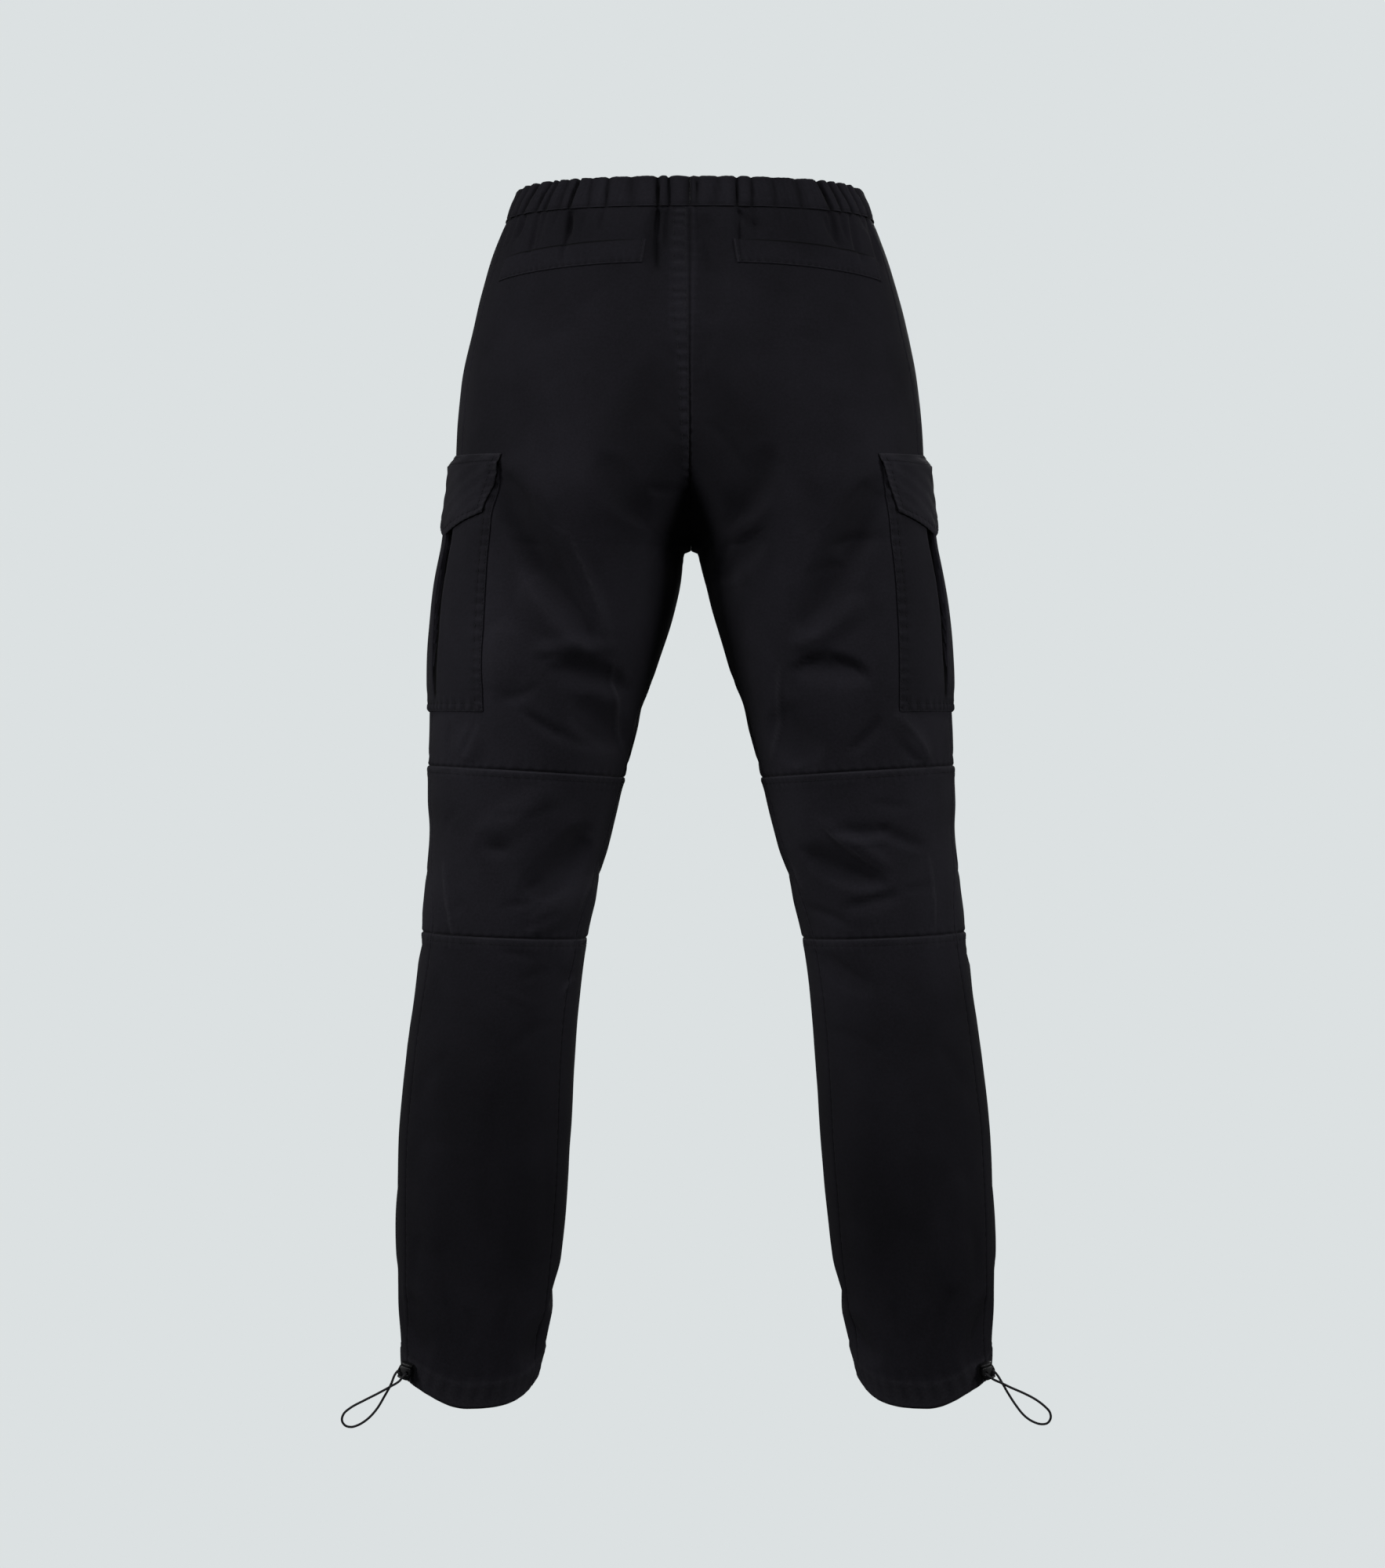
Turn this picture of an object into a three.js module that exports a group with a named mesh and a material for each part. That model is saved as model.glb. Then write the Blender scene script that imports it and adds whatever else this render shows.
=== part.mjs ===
// Black cotton cargo trousers with an elastic waist, filled out as if worn, with nobody in them.
// Millimetres, +Z up. +X is the wearer's right, +Y the wearer's front.
// The origin is the middle of the waist opening, level with its rim.
import * as THREE from "three";

// Driving dimensions
const WALL = 2; // cloth, doubled at its seams
const SEAM_GAP = 0.3; // between pieces that are sewn together
const LAY_GAP = 0.3; // between a panel and what lies on it
const FACET_SAG = 1; // how far a flat facet of a patch dips between its corners on the leg
const WAISTBAND_HEIGHT = 26;
const UPPER_KNEE_Z = -490; // height of the two knee seams
const LOWER_KNEE_Z = -628;
const CROTCH_Z = -303;
const CROTCH_FOOT_Z = -305; // under the blunt end of the crotch seam
const HEM_Z = -996; // mid height of the slanted hem edge
const HEM_BAND = 23; // depth of the turned hem that holds the elastic
const HEM_LIFT = 6; // how far the edge is drawn up between back and sides
const HEM_SLOPE = 0.447; // the hem edge hangs lower at the back
const WELT = { top: -54, height: 20, drop: 9, innerAngle: 98.9, outerAngle: 152.5, wall: 1.4 };
const POCKET = { top: -238, bottom: -443, topHalf: 61, bottomHalf: 80, wall: 1.6, bulge: 4.8 };
const FLAP = { top: -230, half: 64, cornerHalf: 57, sideDrop: 48, middleDrop: 68, tilt: 3, wall: 1.8 };
const TOGGLE = { width: 12.4, height: 14, depth: 9, holeRadius: 1.4, holeSpread: 3.7, cap: 2.6 };
const CORD_RADIUS = 1;

// A table with named columns: one object for each row.
const table = (names, rows) =>
  rows.map((row) => Object.fromEntries(names.split(" ").map((name, i) => [name, row[i]])));

// Half a garment, cut level: how far its outer and inner sides are from the middle plane, and its
// back and front from the side plane. Above the crotch the inner side is virtual, past the middle,
// and just above it a web draws the inner side out to the middle plane.
const SECTIONS = table("z outer inner back front", [
  [0, 146, -146, -97, 95],
  [-14, 151, -151, -100, 98],
  [-26, 155, -155, -103, 100],
  [-35, 159, -158, -106, 102],
  [-68, 171, -166, -114, 107],
  [-115, 183, -165, -124, 112],
  [-168, 193, -130, -132, 115],
  [-218, 197, -84, -136, 117],
  [-250, 198, -44, -136, 118],
  [-275, 200.5, -16, -134, 118],
  [-292, 202.5, -1.5, -132, 117],
  [CROTCH_Z, 204, 4.6, -131, 116.4],
  [CROTCH_FOOT_Z, 204.4, 5.4, -130.8, 116.3],
  [-328, 209, 9.8, -128, 115],
  [-355, 213, 16, -125, 113],
  [-401, 218, 30.5, -119, 109],
  [-444, 221, 45, -112, 105],
  [-490, 223, 58, -103, 101],
  [-520, 224, 65, -97, 98],
  [-541, 223, 70, -94, 97],
  [-580, 226, 80, -89, 92],
  [-628, 231.5, 91, -86, 85],
  [-674, 236, 97, -86, 78],
  [-734, 244, 102, -86, 70],
  [-800, 250, 105.5, -83, 64],
  [-867, 252, 111, -78, 60],
  [-933, 252, 120, -72, 57],
  [-970, 250, 128, -67, 54],
  [HEM_Z, 249, 134, -62, 51],
]);

// How the sections hang: roundness of the ring (2 is an ellipse), how far both legs' outer and
// inner sides lean to the right, rise of the outer side over the inner one, and slope from the
// front down to the back.
const HANG = table("z round outerLean innerLean rise slope", [
  [0, 2.4, 0, 0, 0, 0],
  [-168, 2.35, 0, 0, 0, 0],
  [CROTCH_Z, 2.2, 0, 1, 0, 0],
  [-340, 2.15, 0, 3, 0, 0],
  [-420, 2.1, 0.5, 3, 2, 0],
  [UPPER_KNEE_Z, 2.05, 1, 3, 5, 0],
  [LOWER_KNEE_Z, 2, 3, 4, 3, 0],
  [-740, 2, 3.5, 4.5, 0, 0],
  [-900, 2, 5, 6, 0, 0.1],
  [HEM_Z, 2, 5.5, 6.5, 0, HEM_SLOPE],
]);

// Where the seams run down each leg, in degrees from the inner side, over the back, to the outer.
const SEAMS = table("z inseam outseam", [
  [0, 0, 162],
  [-115, 0, 161],
  [CROTCH_Z, 0, 160],
  [-401, 7, 161],
  [UPPER_KNEE_Z, 11, 162],
  [-560, 19, 160],
  [LOWER_KNEE_Z, 28, 146],
  [-700, 31, 150],
  [HEM_Z, 25, 152],
]);

// Soft folds, each along a straight line on one face of the legs. "across" is x on the back and
// front and y on the outer and inner sides. A trough has a depth below zero, a ridge above.
const FOLDS = table("face across1 z1 across2 z2 width depth", [
  ["back", -23, -30, -27, -84, 15, -5],
  ["back", 17, -40, 19, -130, 17, -3.5],
  ["back", -93, -28, -94, -52, 15, -2.5],
  ["back", 120, -28, 143, -56, 14, -3],
  ["back", 60, -26, 52, -50, 12, -2],
  ["back", -8, -150, -70, -262, 34, -2.5],
  ["back", 8, -170, 62, -262, 34, -2.5],
  ["back", -148, -254, -114, -292, 22, -4],
  ["back", -114, -292, -76, -380, 27, -6.5],
  ["back", -88, -300, -46, -368, 24, 4],
  ["back", -118, -411, -56, -415, 25, -5],
  ["back", 155, -292, 114, -317, 24, -5.5],
  ["back", 114, -317, 86, -368, 25, -6],
  ["back", 92, -372, 150, -377, 26, 4],
  ["back", 88, -412, 143, -411, 25, -5],
  ["back", -176, -455, -187, -481, 17, 3],
  ["back", 174, -452, 194, -480, 17, 3],
  ["back", -82, -528, -149, -593, 25, -6.5],
  ["back", -112, -506, -176, -548, 20, 3],
  ["back", -174, -544, -156, -558, 15, -3],
  ["back", 130, -536, 194, -554, 18, -4.5],
  ["back", 100, -550, 158, -582, 18, -4.5],
  ["back", 141, -598, 166, -594, 15, -3],
  ["back", 120, -642, 148, -667, 20, -4],
  ["back", -89, -633, -103, -657, 17, 3],
  ["back", -213, -800, -211, -885, 22, 3],
  ["back", 221, -830, 220, -919, 22, 3],
  ["back", -236, -931, -220, -977, 17, -4],
  ["back", -121, -950, -135, -988, 16, -4],
  ["back", 247, -934, 234, -988, 17, -4],
  ["back", 132, -950, 153, -983, 16, -4],
  ["front", -150, -240, -60, -296, 26, -5],
  ["front", 148, -246, 56, -300, 26, -5],
  ["front", -30, -34, -34, -90, 16, -3.5],
  ["front", 36, -34, 44, -96, 17, -3.5],
  ["front", 96, -30, 104, -70, 15, -3],
  ["front", -104, -30, -112, -66, 15, -3],
  ["front", -60, -330, -130, -362, 24, -4],
  ["front", 64, -334, 126, -352, 24, -4],
  ["front", -95, -500, -180, -512, 22, 4],
  ["front", 90, -508, 176, -498, 22, 4],
  ["front", -100, -560, -186, -574, 24, -5],
  ["front", 104, -566, 190, -552, 24, -5],
  ["front", -120, -660, -190, -676, 22, -3.5],
  ["front", 126, -668, 196, -652, 22, -3.5],
  ["front", -150, -880, -190, -930, 22, -3.5],
  ["front", 160, -890, 204, -924, 22, -3.5],
  ["outer", 14, -506, 64, -550, 20, -3.5],
  ["outer", 30, -600, -20, -646, 20, -4],
  ["outer", 12, -830, -6, -905, 22, 3],
  ["inner", 30, -420, -30, -448, 22, -4],
  ["inner", -40, -566, 36, -590, 22, -4],
  ["inner", 20, -905, -24, -940, 20, -3.5],
]);

// Creases of the gathered waistband: how far across the back, and how deep.
const BACK_GATHERS = table("across depth", [
  [-144, 1.6], [-138, 1.2], [-129, 1.6], [-119, 1.2], [-112, 1.6], [-97, 2], [-87, 1.2],
  [-71, 1.4], [-48, 0.8], [-23, 2.4], [-16, 1.8], [5, 2], [20, 0.9], [37, 2.2], [44, 1.8],
  [60, 1.4], [77, 1.6], [95, 1.2], [113, 2], [121, 1.4], [127, 1.6], [135, 1.4], [143, 1.6],
]);
const FRONT_GATHERS = table("across depth", [
  [-145, 1.4], [-133, 1.6], [-121, 1.2], [-108, 1.8], [-96, 1.2], [-80, 1.6], [-62, 1.4],
  [-47, 2], [-36, 1.4], [-20, 1.8], [-6, 1.2], [8, 1.6], [26, 1.8], [39, 1.2], [54, 2],
  [70, 1.4], [83, 1.8], [99, 1.2], [110, 1.6], [124, 1.4], [134, 1.6], [146, 1.2],
]);

// Free elastic loops at the hems, by hand, from one hole of the cord lock round to the other.
const CORD_ROUTES = {
  left: [
    [-243.3, -48.4, -991.2], [-244.4, -50.8, -991.7], [-246.5, -52.4, -994.6],
    [-249.6, -52.6, -1002.4], [-254.6, -52.4, -1011.6], [-261.2, -52.2, -1022.6],
    [-268.4, -52.4, -1030.6], [-276.2, -52.8, -1035.8], [-282.6, -53.4, -1037.6],
    [-287.6, -54.2, -1036.2], [-290.2, -55.0, -1031.8], [-288.6, -55.8, -1026.2],
    [-282.4, -56.2, -1020.8], [-271.2, -56.4, -1014.8], [-259.4, -56.4, -1008.8],
    [-249.6, -56.4, -1003.4], [-242.6, -56.4, -999.2], [-239.8, -55.8, -996.0],
    [-238.1, -53.9, -993.8], [-237.0, -51.4, -993.4],
  ],
  right: [
    [253.1, -47.3, -991.2], [254.2, -49.7, -991.7], [256.9, -51.3, -994.6],
    [261.0, -51.6, -1001.2], [265.3, -51.6, -1008.8], [272.4, -51.4, -1019.8],
    [279.0, -51.4, -1028.0], [285.8, -51.8, -1033.0], [293.2, -52.4, -1035.4],
    [298.6, -53.2, -1034.4], [301.2, -54.0, -1030.2], [300.4, -54.8, -1025.0],
    [295.8, -55.2, -1019.8], [288.0, -55.4, -1014.0], [278.4, -55.4, -1009.0],
    [267.9, -55.4, -1004.4], [260.4, -55.4, -1000.8], [253.0, -55.4, -997.4],
    [249.8, -54.9, -995.0], [247.8, -52.7, -993.5], [246.7, -50.3, -993.4],
  ],
};

const radians = THREE.MathUtils.degToRad;
const smooth = THREE.MathUtils.smoothstep;
const lerp = THREE.MathUtils.lerp;

// A column of a table at a height, with smooth monotone curves between its rows.
function read(rows, column, z) {
  const last = rows.length - 1;
  if (z >= rows[0].z) return rows[0][column];
  if (z <= rows[last].z) return rows[last][column];
  const i = rows.findIndex((row) => row.z < z) - 1;
  const rate = (k) => (rows[k + 1][column] - rows[k][column]) / (rows[k + 1].z - rows[k].z);
  const tangent = (k) => {
    if (k === 0 || k === last) return 0;
    const before = rate(k - 1);
    const after = rate(k);
    return before * after <= 0 ? 0 : (2 * before * after) / (before + after);
  };
  const step = rows[i + 1].z - rows[i].z;
  const t = (z - rows[i].z) / step;
  const t2 = t * t;
  const t3 = t2 * t;
  return (
    (2 * t3 - 3 * t2 + 1) * rows[i][column] +
    (t3 - 2 * t2 + t) * step * tangent(i) +
    (3 * t2 - 2 * t3) * rows[i + 1][column] +
    (t3 - t2) * step * tangent(i + 1)
  );
}

// The ring of half the garment at a height.
function ringAt(z) {
  const outer = read(SECTIONS, "outer", z);
  const inner = read(SECTIONS, "inner", z);
  const back = read(SECTIONS, "back", z);
  const front = read(SECTIONS, "front", z);
  return {
    middleX: (outer + inner) / 2,
    halfWidth: (outer - inner) / 2,
    middleY: (back + front) / 2,
    halfDepth: (front - back) / 2,
    round: read(HANG, "round", z),
    outerLean: read(HANG, "outerLean", z),
    innerLean: read(HANG, "innerLean", z),
    rise: read(HANG, "rise", z),
    slope: read(HANG, "slope", z),
    web: Math.max(0, inner - SEAM_GAP / 2) * smooth(z, CROTCH_FOOT_Z, CROTCH_Z),
  };
}

const signedPower = (value, power) => Math.sign(value) * Math.abs(value) ** power;

// A point of the ring and its outward direction, in the right half, before folds.
function onRing(ring, angle) {
  const c = Math.cos(radians(angle));
  const s = Math.sin(radians(angle));
  const power = 2 / ring.round;
  const normalX = -signedPower(c, 2 - power) / ring.halfWidth;
  const normalY = -signedPower(s, 2 - power) / ring.halfDepth;
  const length = Math.hypot(normalX, normalY);
  return {
    x: ring.middleX - ring.halfWidth * signedPower(c, power) - ring.web * smooth(c, 0.85, 1),
    y: ring.middleY - ring.halfDepth * signedPower(s, power),
    normalX: normalX / length,
    normalY: normalY / length,
    lean: lerp(ring.innerLean, ring.outerLean, (1 - c) / 2),
    dz: -ring.rise * c,
  };
}

// Height of the folds at a place, along the outward direction.
function foldHeight(side, x, y, z, normalX, normalY) {
  const facing = { back: -normalY, front: normalY, outer: side * normalX, inner: -side * normalX };
  let height = 0;
  for (const fold of FOLDS) {
    const flat = fold.face === "back" || fold.face === "front";
    const weight = smooth(facing[fold.face], 0.1, 0.6);
    if (weight === 0) continue;
    const across = flat ? x : y;
    const runAcross = fold.across2 - fold.across1;
    const runZ = fold.z2 - fold.z1;
    const along =
      ((across - fold.across1) * runAcross + (z - fold.z1) * runZ) / (runAcross ** 2 + runZ ** 2);
    const t = THREE.MathUtils.clamp(along, 0, 1);
    const away = Math.hypot(across - fold.across1 - t * runAcross, z - fold.z1 - t * runZ);
    const r = away / fold.width;
    if (r < 1) height += weight * fold.depth * (1 - r * r) ** 2;
  }
  return height;
}

// A point of the cloth: side is 1 for the right half and -1 for the left, out is how far it lies
// outside the panels' outer face.
function skin(side, z, angle, out) {
  const ring = ringAt(z);
  const base = onRing(ring, angle);
  const slant = ring.slope * (base.y - ring.middleY);
  const share = Math.cos(radians(angle)) < 0 ? 1 : -0.4;
  const drawn = share * HEM_LIFT * Math.sin(radians(2 * angle)) ** 2;
  const height = z + base.dz + slant + (drawn * ring.slope) / HEM_SLOPE;
  const worldX = side * base.x + base.lean;
  const fold = foldHeight(side, worldX, base.y, height, side * base.normalX, base.normalY);
  const move = fold + out;
  const x = Math.max(base.x + base.normalX * move, SEAM_GAP / 2);
  return new THREE.Vector3(side * x + base.lean, base.y + base.normalY * move, height);
}

// The angle where the ring crosses the middle plane, or 0 where it lies on one side of it.
function middleAngle(z, front) {
  const ring = ringAt(z);
  const ratio = (ring.middleX - SEAM_GAP / 2) / ring.halfWidth;
  if (ratio >= 1) return front ? 360 : 0;
  const angle = THREE.MathUtils.radToDeg(Math.acos(signedPower(ratio, ring.round / 2)));
  return front ? 360 - angle : angle;
}

// The angle that lies a distance round the ring from another one.
function walk(z, from, distance) {
  const ring = ringAt(z);
  const step = Math.sign(distance);
  let angle = from;
  let left = Math.abs(distance);
  for (;;) {
    const a = onRing(ring, angle);
    const b = onRing(ring, angle + step);
    const length = Math.hypot(a.x - b.x, a.y - b.y);
    if (length >= left) return angle + (step * left) / length;
    left -= length;
    angle += step;
  }
}

// The angle that a length of cloth spans at a height.
const spread = (z, angle, length) => Math.abs(walk(z, angle, length) - angle);

// A closed wall from a grid of places: place(i, j, face) is the point in row i and column j of
// the outer face (1) or the inner face (0). Rows run down and columns run anticlockwise from
// above on the right half, so "flip" turns the faces of the mirrored half round.
function wall(rows, columns, place, flip) {
  const positions = [];
  const index = [];
  const at = (i, j, face) => (face * rows + i) * columns + j;
  for (const face of [0, 1])
    for (let i = 0; i < rows; i++)
      for (let j = 0; j < columns; j++) positions.push(...place(i, j, face).toArray());
  const quad = (a, b, c, d) => (flip ? index.push(a, c, b, a, d, c) : index.push(a, b, c, a, c, d));
  for (let i = 0; i < rows - 1; i++)
    for (let j = 0; j < columns - 1; j++) {
      quad(at(i, j, 1), at(i + 1, j, 1), at(i + 1, j + 1, 1), at(i, j + 1, 1));
      quad(at(i, j, 0), at(i, j + 1, 0), at(i + 1, j + 1, 0), at(i + 1, j, 0));
    }
  const end = columns - 1;
  for (let i = 0; i < rows - 1; i++) {
    quad(at(i, 0, 1), at(i, 0, 0), at(i + 1, 0, 0), at(i + 1, 0, 1));
    quad(at(i, end, 1), at(i + 1, end, 1), at(i + 1, end, 0), at(i, end, 0));
  }
  for (let j = 0; j < columns - 1; j++) {
    quad(at(0, j, 1), at(0, j + 1, 1), at(0, j + 1, 0), at(0, j, 0));
    quad(at(rows - 1, j, 1), at(rows - 1, j, 0), at(rows - 1, j + 1, 0), at(rows - 1, j + 1, 1));
  }
  const geometry = new THREE.BufferGeometry();
  geometry.setAttribute("position", new THREE.Float32BufferAttribute(positions, 3));
  geometry.setIndex(index);
  geometry.computeVertexNormals();
  return geometry;
}

const CLOTH = { color: 0x1b1b20, roughness: 0.9, metalness: 0 };
const PLASTIC = { color: 0x0d0d0f, roughness: 0.45, metalness: 0 };
const ELASTIC = { color: 0x141416, roughness: 0.8, metalness: 0 };

function piece(name, geometry, finish) {
  const mesh = new THREE.Mesh(geometry, new THREE.MeshStandardMaterial(finish));
  mesh.name = name;
  return mesh;
}

// Heights of a panel's rows: even steps, with the crotch point among them.
function rowHeights(top, bottom, step) {
  const crossed = top > CROTCH_Z && bottom < CROTCH_Z;
  const stops = crossed ? [top, CROTCH_Z, CROTCH_FOOT_Z, bottom] : [top, bottom];
  const heights = [top];
  for (let k = 0; k < stops.length - 1; k++) {
    const count = Math.max(1, Math.round((stops[k] - stops[k + 1]) / step));
    for (let i = 1; i <= count; i++) heights.push(lerp(stops[k], stops[k + 1], i / count));
  }
  return heights;
}

// A panel between the seams of one face of the leg, "back" or "front".
function panel(side, face, top, bottom, columns, step) {
  const heights = rowHeights(top - SEAM_GAP / 2, bottom + SEAM_GAP / 2, step);
  const place = (i, j, outer) => {
    const z = heights[i];
    const inseam = read(SEAMS, "inseam", z);
    const outseam = read(SEAMS, "outseam", z);
    const half = spread(z, outseam, SEAM_GAP / 2);
    const middle = middleAngle(z, face === "front");
    const closed = middle === 0 || middle === 360;
    const innerGap = spread(z, inseam, SEAM_GAP / 2);
    const t = j / (columns - 1);
    const angle =
      face === "back"
        ? lerp(closed ? inseam + innerGap : middle, outseam - half, t)
        : lerp(outseam + half, closed ? inseam + 360 - innerGap : middle, t);
    const point = skin(side, z, angle, outer ? 0 : -WALL);
    const onMiddle = !closed && (face === "back" ? j === 0 : j === columns - 1);
    if (onMiddle) point.x = side * (SEAM_GAP / 2);
    return point;
  };
  return wall(heights.length, columns, place, side < 0);
}

// The lower leg ends in a turned hem: its last rows stand a little proud of the leg.
function lowerPanel(side, face, columns, step) {
  const stitch = HEM_Z + HEM_BAND;
  const heights = [
    ...rowHeights(LOWER_KNEE_Z - SEAM_GAP / 2, stitch + 3, step),
    stitch,
    stitch - 4,
    HEM_Z + 4,
    HEM_Z,
  ];
  const proud = [...heights.slice(0, -4).map(() => 0), -0.8, 0.8, 0.8, 0.2];
  const place = (i, j, outer) => {
    const z = heights[i];
    const inseam = read(SEAMS, "inseam", z);
    const outseam = read(SEAMS, "outseam", z);
    const half = spread(z, outseam, SEAM_GAP / 2);
    const innerGap = spread(z, inseam, SEAM_GAP / 2);
    const t = j / (columns - 1);
    const angle =
      face === "back"
        ? lerp(inseam + innerGap, outseam - half, t)
        : lerp(outseam + half, inseam + 360 - innerGap, t);
    return skin(side, z, angle, outer ? proud[i] : -WALL);
  };
  return wall(heights.length, columns, place, side < 0);
}

// Half of the waistband, from the middle of the back round the side to the middle of the front.
// Every gather puffs out between two creases.
function waistband(side) {
  const toAngle = (across, z, front) => {
    const ring = ringAt(z);
    const ratio = THREE.MathUtils.clamp((ring.middleX - side * across) / ring.halfWidth, -1, 1);
    const angle = THREE.MathUtils.radToDeg(Math.acos(signedPower(ratio, ring.round / 2)));
    return front ? 360 - angle : angle;
  };
  const level = -WAISTBAND_HEIGHT / 2;
  const creases = [{ angle: middleAngle(level, false), depth: 0.6 }];
  const sorted = (rows) =>
    rows.filter((row) => side * row.across > 2).sort((a, b) => side * (a.across - b.across));
  for (const row of sorted(BACK_GATHERS))
    creases.push({ angle: toAngle(row.across, level, false), depth: row.depth });
  for (const row of sorted(FRONT_GATHERS).reverse())
    creases.push({ angle: toAngle(row.across, level, true), depth: row.depth });
  creases.push({ angle: middleAngle(level, true), depth: 0.6 });

  const stations = [];
  const shares = [0, 0.22, 0.5, 0.78];
  for (let k = 0; k < creases.length - 1; k++)
    for (const share of shares) {
      const depth = lerp(creases[k].depth, creases[k + 1].depth, share);
      stations.push({
        angle: lerp(creases[k].angle, creases[k + 1].angle, share),
        puff: share === 0 ? -creases[k].depth : depth * (share === 0.5 ? 0.55 : 0.35),
      });
    }
  const end = creases[creases.length - 1];
  stations.push({ angle: end.angle, puff: -end.depth });

  const heights = [0, level, -WAISTBAND_HEIGHT + SEAM_GAP / 2];
  const strength = [0.8, 1, 0.6];
  const place = (i, j, outer) => {
    const station = stations[j];
    const out = outer ? 0.6 + station.puff * strength[i] : -WALL - 0.4;
    const point = skin(side, heights[i], station.angle, out);
    if (j === 0 || j === stations.length - 1) point.x = side * (SEAM_GAP / 2);
    return point;
  };
  return wall(heights.length, stations.length, place, side < 0);
}

// The single welt of a back pocket, from near the middle of the back to the side seam. Its upper
// edge gapes a little.
function welt(side) {
  const columns = 12;
  const gape = side > 0 ? 2.2 : 0.8;
  const depths = [0, 0.35, 1];
  const place = (i, j, outer) => {
    const t = j / (columns - 1);
    const z = WELT.top - WELT.drop * t ** 1.5 - WELT.height * depths[i];
    const angle = lerp(WELT.innerAngle, WELT.outerAngle, t);
    const open = gape * Math.sin(Math.PI * t) * (1 - depths[i]) ** 2;
    return skin(side, z, angle, LAY_GAP + FACET_SAG / 2 + open + (outer ? WELT.wall : 0));
  };
  return wall(depths.length, columns, place, side < 0);
}

// How far the cargo pocket's cloth is lifted off the leg, at shares of its half width from its
// middle, towards the back above zero. An inverted pleat opens a little behind the middle.
const POCKET_COLUMNS = table("share lift", [
  [-1, 0], [-0.86, 0.36], [-0.7, 0.65], [-0.45, 0.92], [-0.15, 1.1], [0.06, 1.3], [0.12, 0.2],
  [0.26, 0.2], [0.33, 1], [0.5, 0.86], [0.7, 0.65], [0.86, 0.36], [1, 0],
]);
const PLEAT = { from: 0.06, to: 0.33 }; // its two folds, as shares of the half width
const pocketFill = (t) => 0.25 + 0.75 * Math.sin(Math.PI * Math.min(1, 0.12 + 0.95 * t)) ** 0.8;
const pocketFall = (z) =>
  THREE.MathUtils.clamp((POCKET.top - z) / (POCKET.top - POCKET.bottom), 0, 1);
const pocketHalf = (z) => lerp(POCKET.topHalf, POCKET.bottomHalf, pocketFall(z));

function pocketLift(share, z) {
  const t = pocketFall(z);
  const i = Math.max(1, POCKET_COLUMNS.findIndex((column) => column.share >= share));
  const a = POCKET_COLUMNS[i - 1];
  const b = POCKET_COLUMNS[i];
  const lift = lerp(a.lift, b.lift, (share - a.share) / (b.share - a.share));
  return POCKET.bulge * lift * pocketFill(t) * smooth(1 - t, 0, 0.12);
}

// The angle of a place on the pocket, a distance round from its middle line, the outer seam.
function pocketAngle(z, s) {
  const seam = read(SEAMS, "outseam", z);
  return s === 0 ? seam : walk(z, seam, -s);
}

function cargoPocket(side) {
  const rows = 14;
  const place = (i, j, outer) => {
    const z = lerp(POCKET.top, POCKET.bottom, i / (rows - 1));
    const column = POCKET_COLUMNS[POCKET_COLUMNS.length - 1 - j];
    const out = LAY_GAP + FACET_SAG + pocketLift(column.share, z) + (outer ? POCKET.wall : 0);
    return skin(side, z, pocketAngle(z, column.share * pocketHalf(z)), out);
  };
  return wall(rows, POCKET_COLUMNS.length, place, side < 0);
}

// The flap: sewn down above the pocket, lying over it, its lower edge a shallow point.
function cargoFlap(side) {
  const columns = [1, 0.86, 0.7, 0.5, 0.27, 0, -0.27, -0.5, -0.7, -0.86, -1];
  const drops = [0, 0.13, 0.4, 0.7, 1];
  const place = (i, j, outer) => {
    const share = columns[j];
    const s = share * lerp(FLAP.half, FLAP.cornerHalf, drops[i]);
    const drop = lerp(FLAP.middleDrop, FLAP.sideDrop, Math.abs(share));
    const z = FLAP.top + FLAP.tilt * (1 - share) - drop * drops[i];
    const onPocket = THREE.MathUtils.clamp(s / pocketHalf(z), -1, 1);
    const overPleat = onPocket > PLEAT.from && onPocket < PLEAT.to;
    const lift = pocketLift(overPleat ? PLEAT.from : onPocket, z);
    const over = i === 0 ? 0 : POCKET.wall + LAY_GAP + Math.max(lift, 0.6) + FACET_SAG;
    const out = LAY_GAP + FACET_SAG + over + (outer ? FLAP.wall : 0);
    return skin(side, z, pocketAngle(z, s), out);
  };
  return wall(drops.length, columns.length, place, side < 0);
}

// A cord lock stands at the outer side of each hem, turned towards the back and tipped.
const TOGGLE_PLACE = { z: -982, angle: 143, turn: 25, tip: -18, out: 0.6 };

function toggleFrame(side) {
  const half = new THREE.Vector3(TOGGLE.width / 2, TOGGLE.depth / 2, TOGGLE.height / 2);
  const surface = skin(side, TOGGLE_PLACE.z, TOGGLE_PLACE.angle, TOGGLE_PLACE.out);
  const beyond = skin(side, TOGGLE_PLACE.z, TOGGLE_PLACE.angle, TOGGLE_PLACE.out + 1);
  const outward = beyond.sub(surface);
  const group = new THREE.Group();
  group.rotation.set(0, side * radians(TOGGLE_PLACE.tip), side * radians(TOGGLE_PLACE.turn), "ZYX");
  group.updateMatrix();
  const axes = [0, 1, 2].map((k) => new THREE.Vector3().setFromMatrixColumn(group.matrix, k));
  const reach = axes.reduce((sum, axis, k) => sum + Math.abs(axis.dot(outward)) * half.getComponent(k), 0);
  group.position.copy(surface).addScaledVector(outward, reach * 0.9);
  return group;
}

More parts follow.
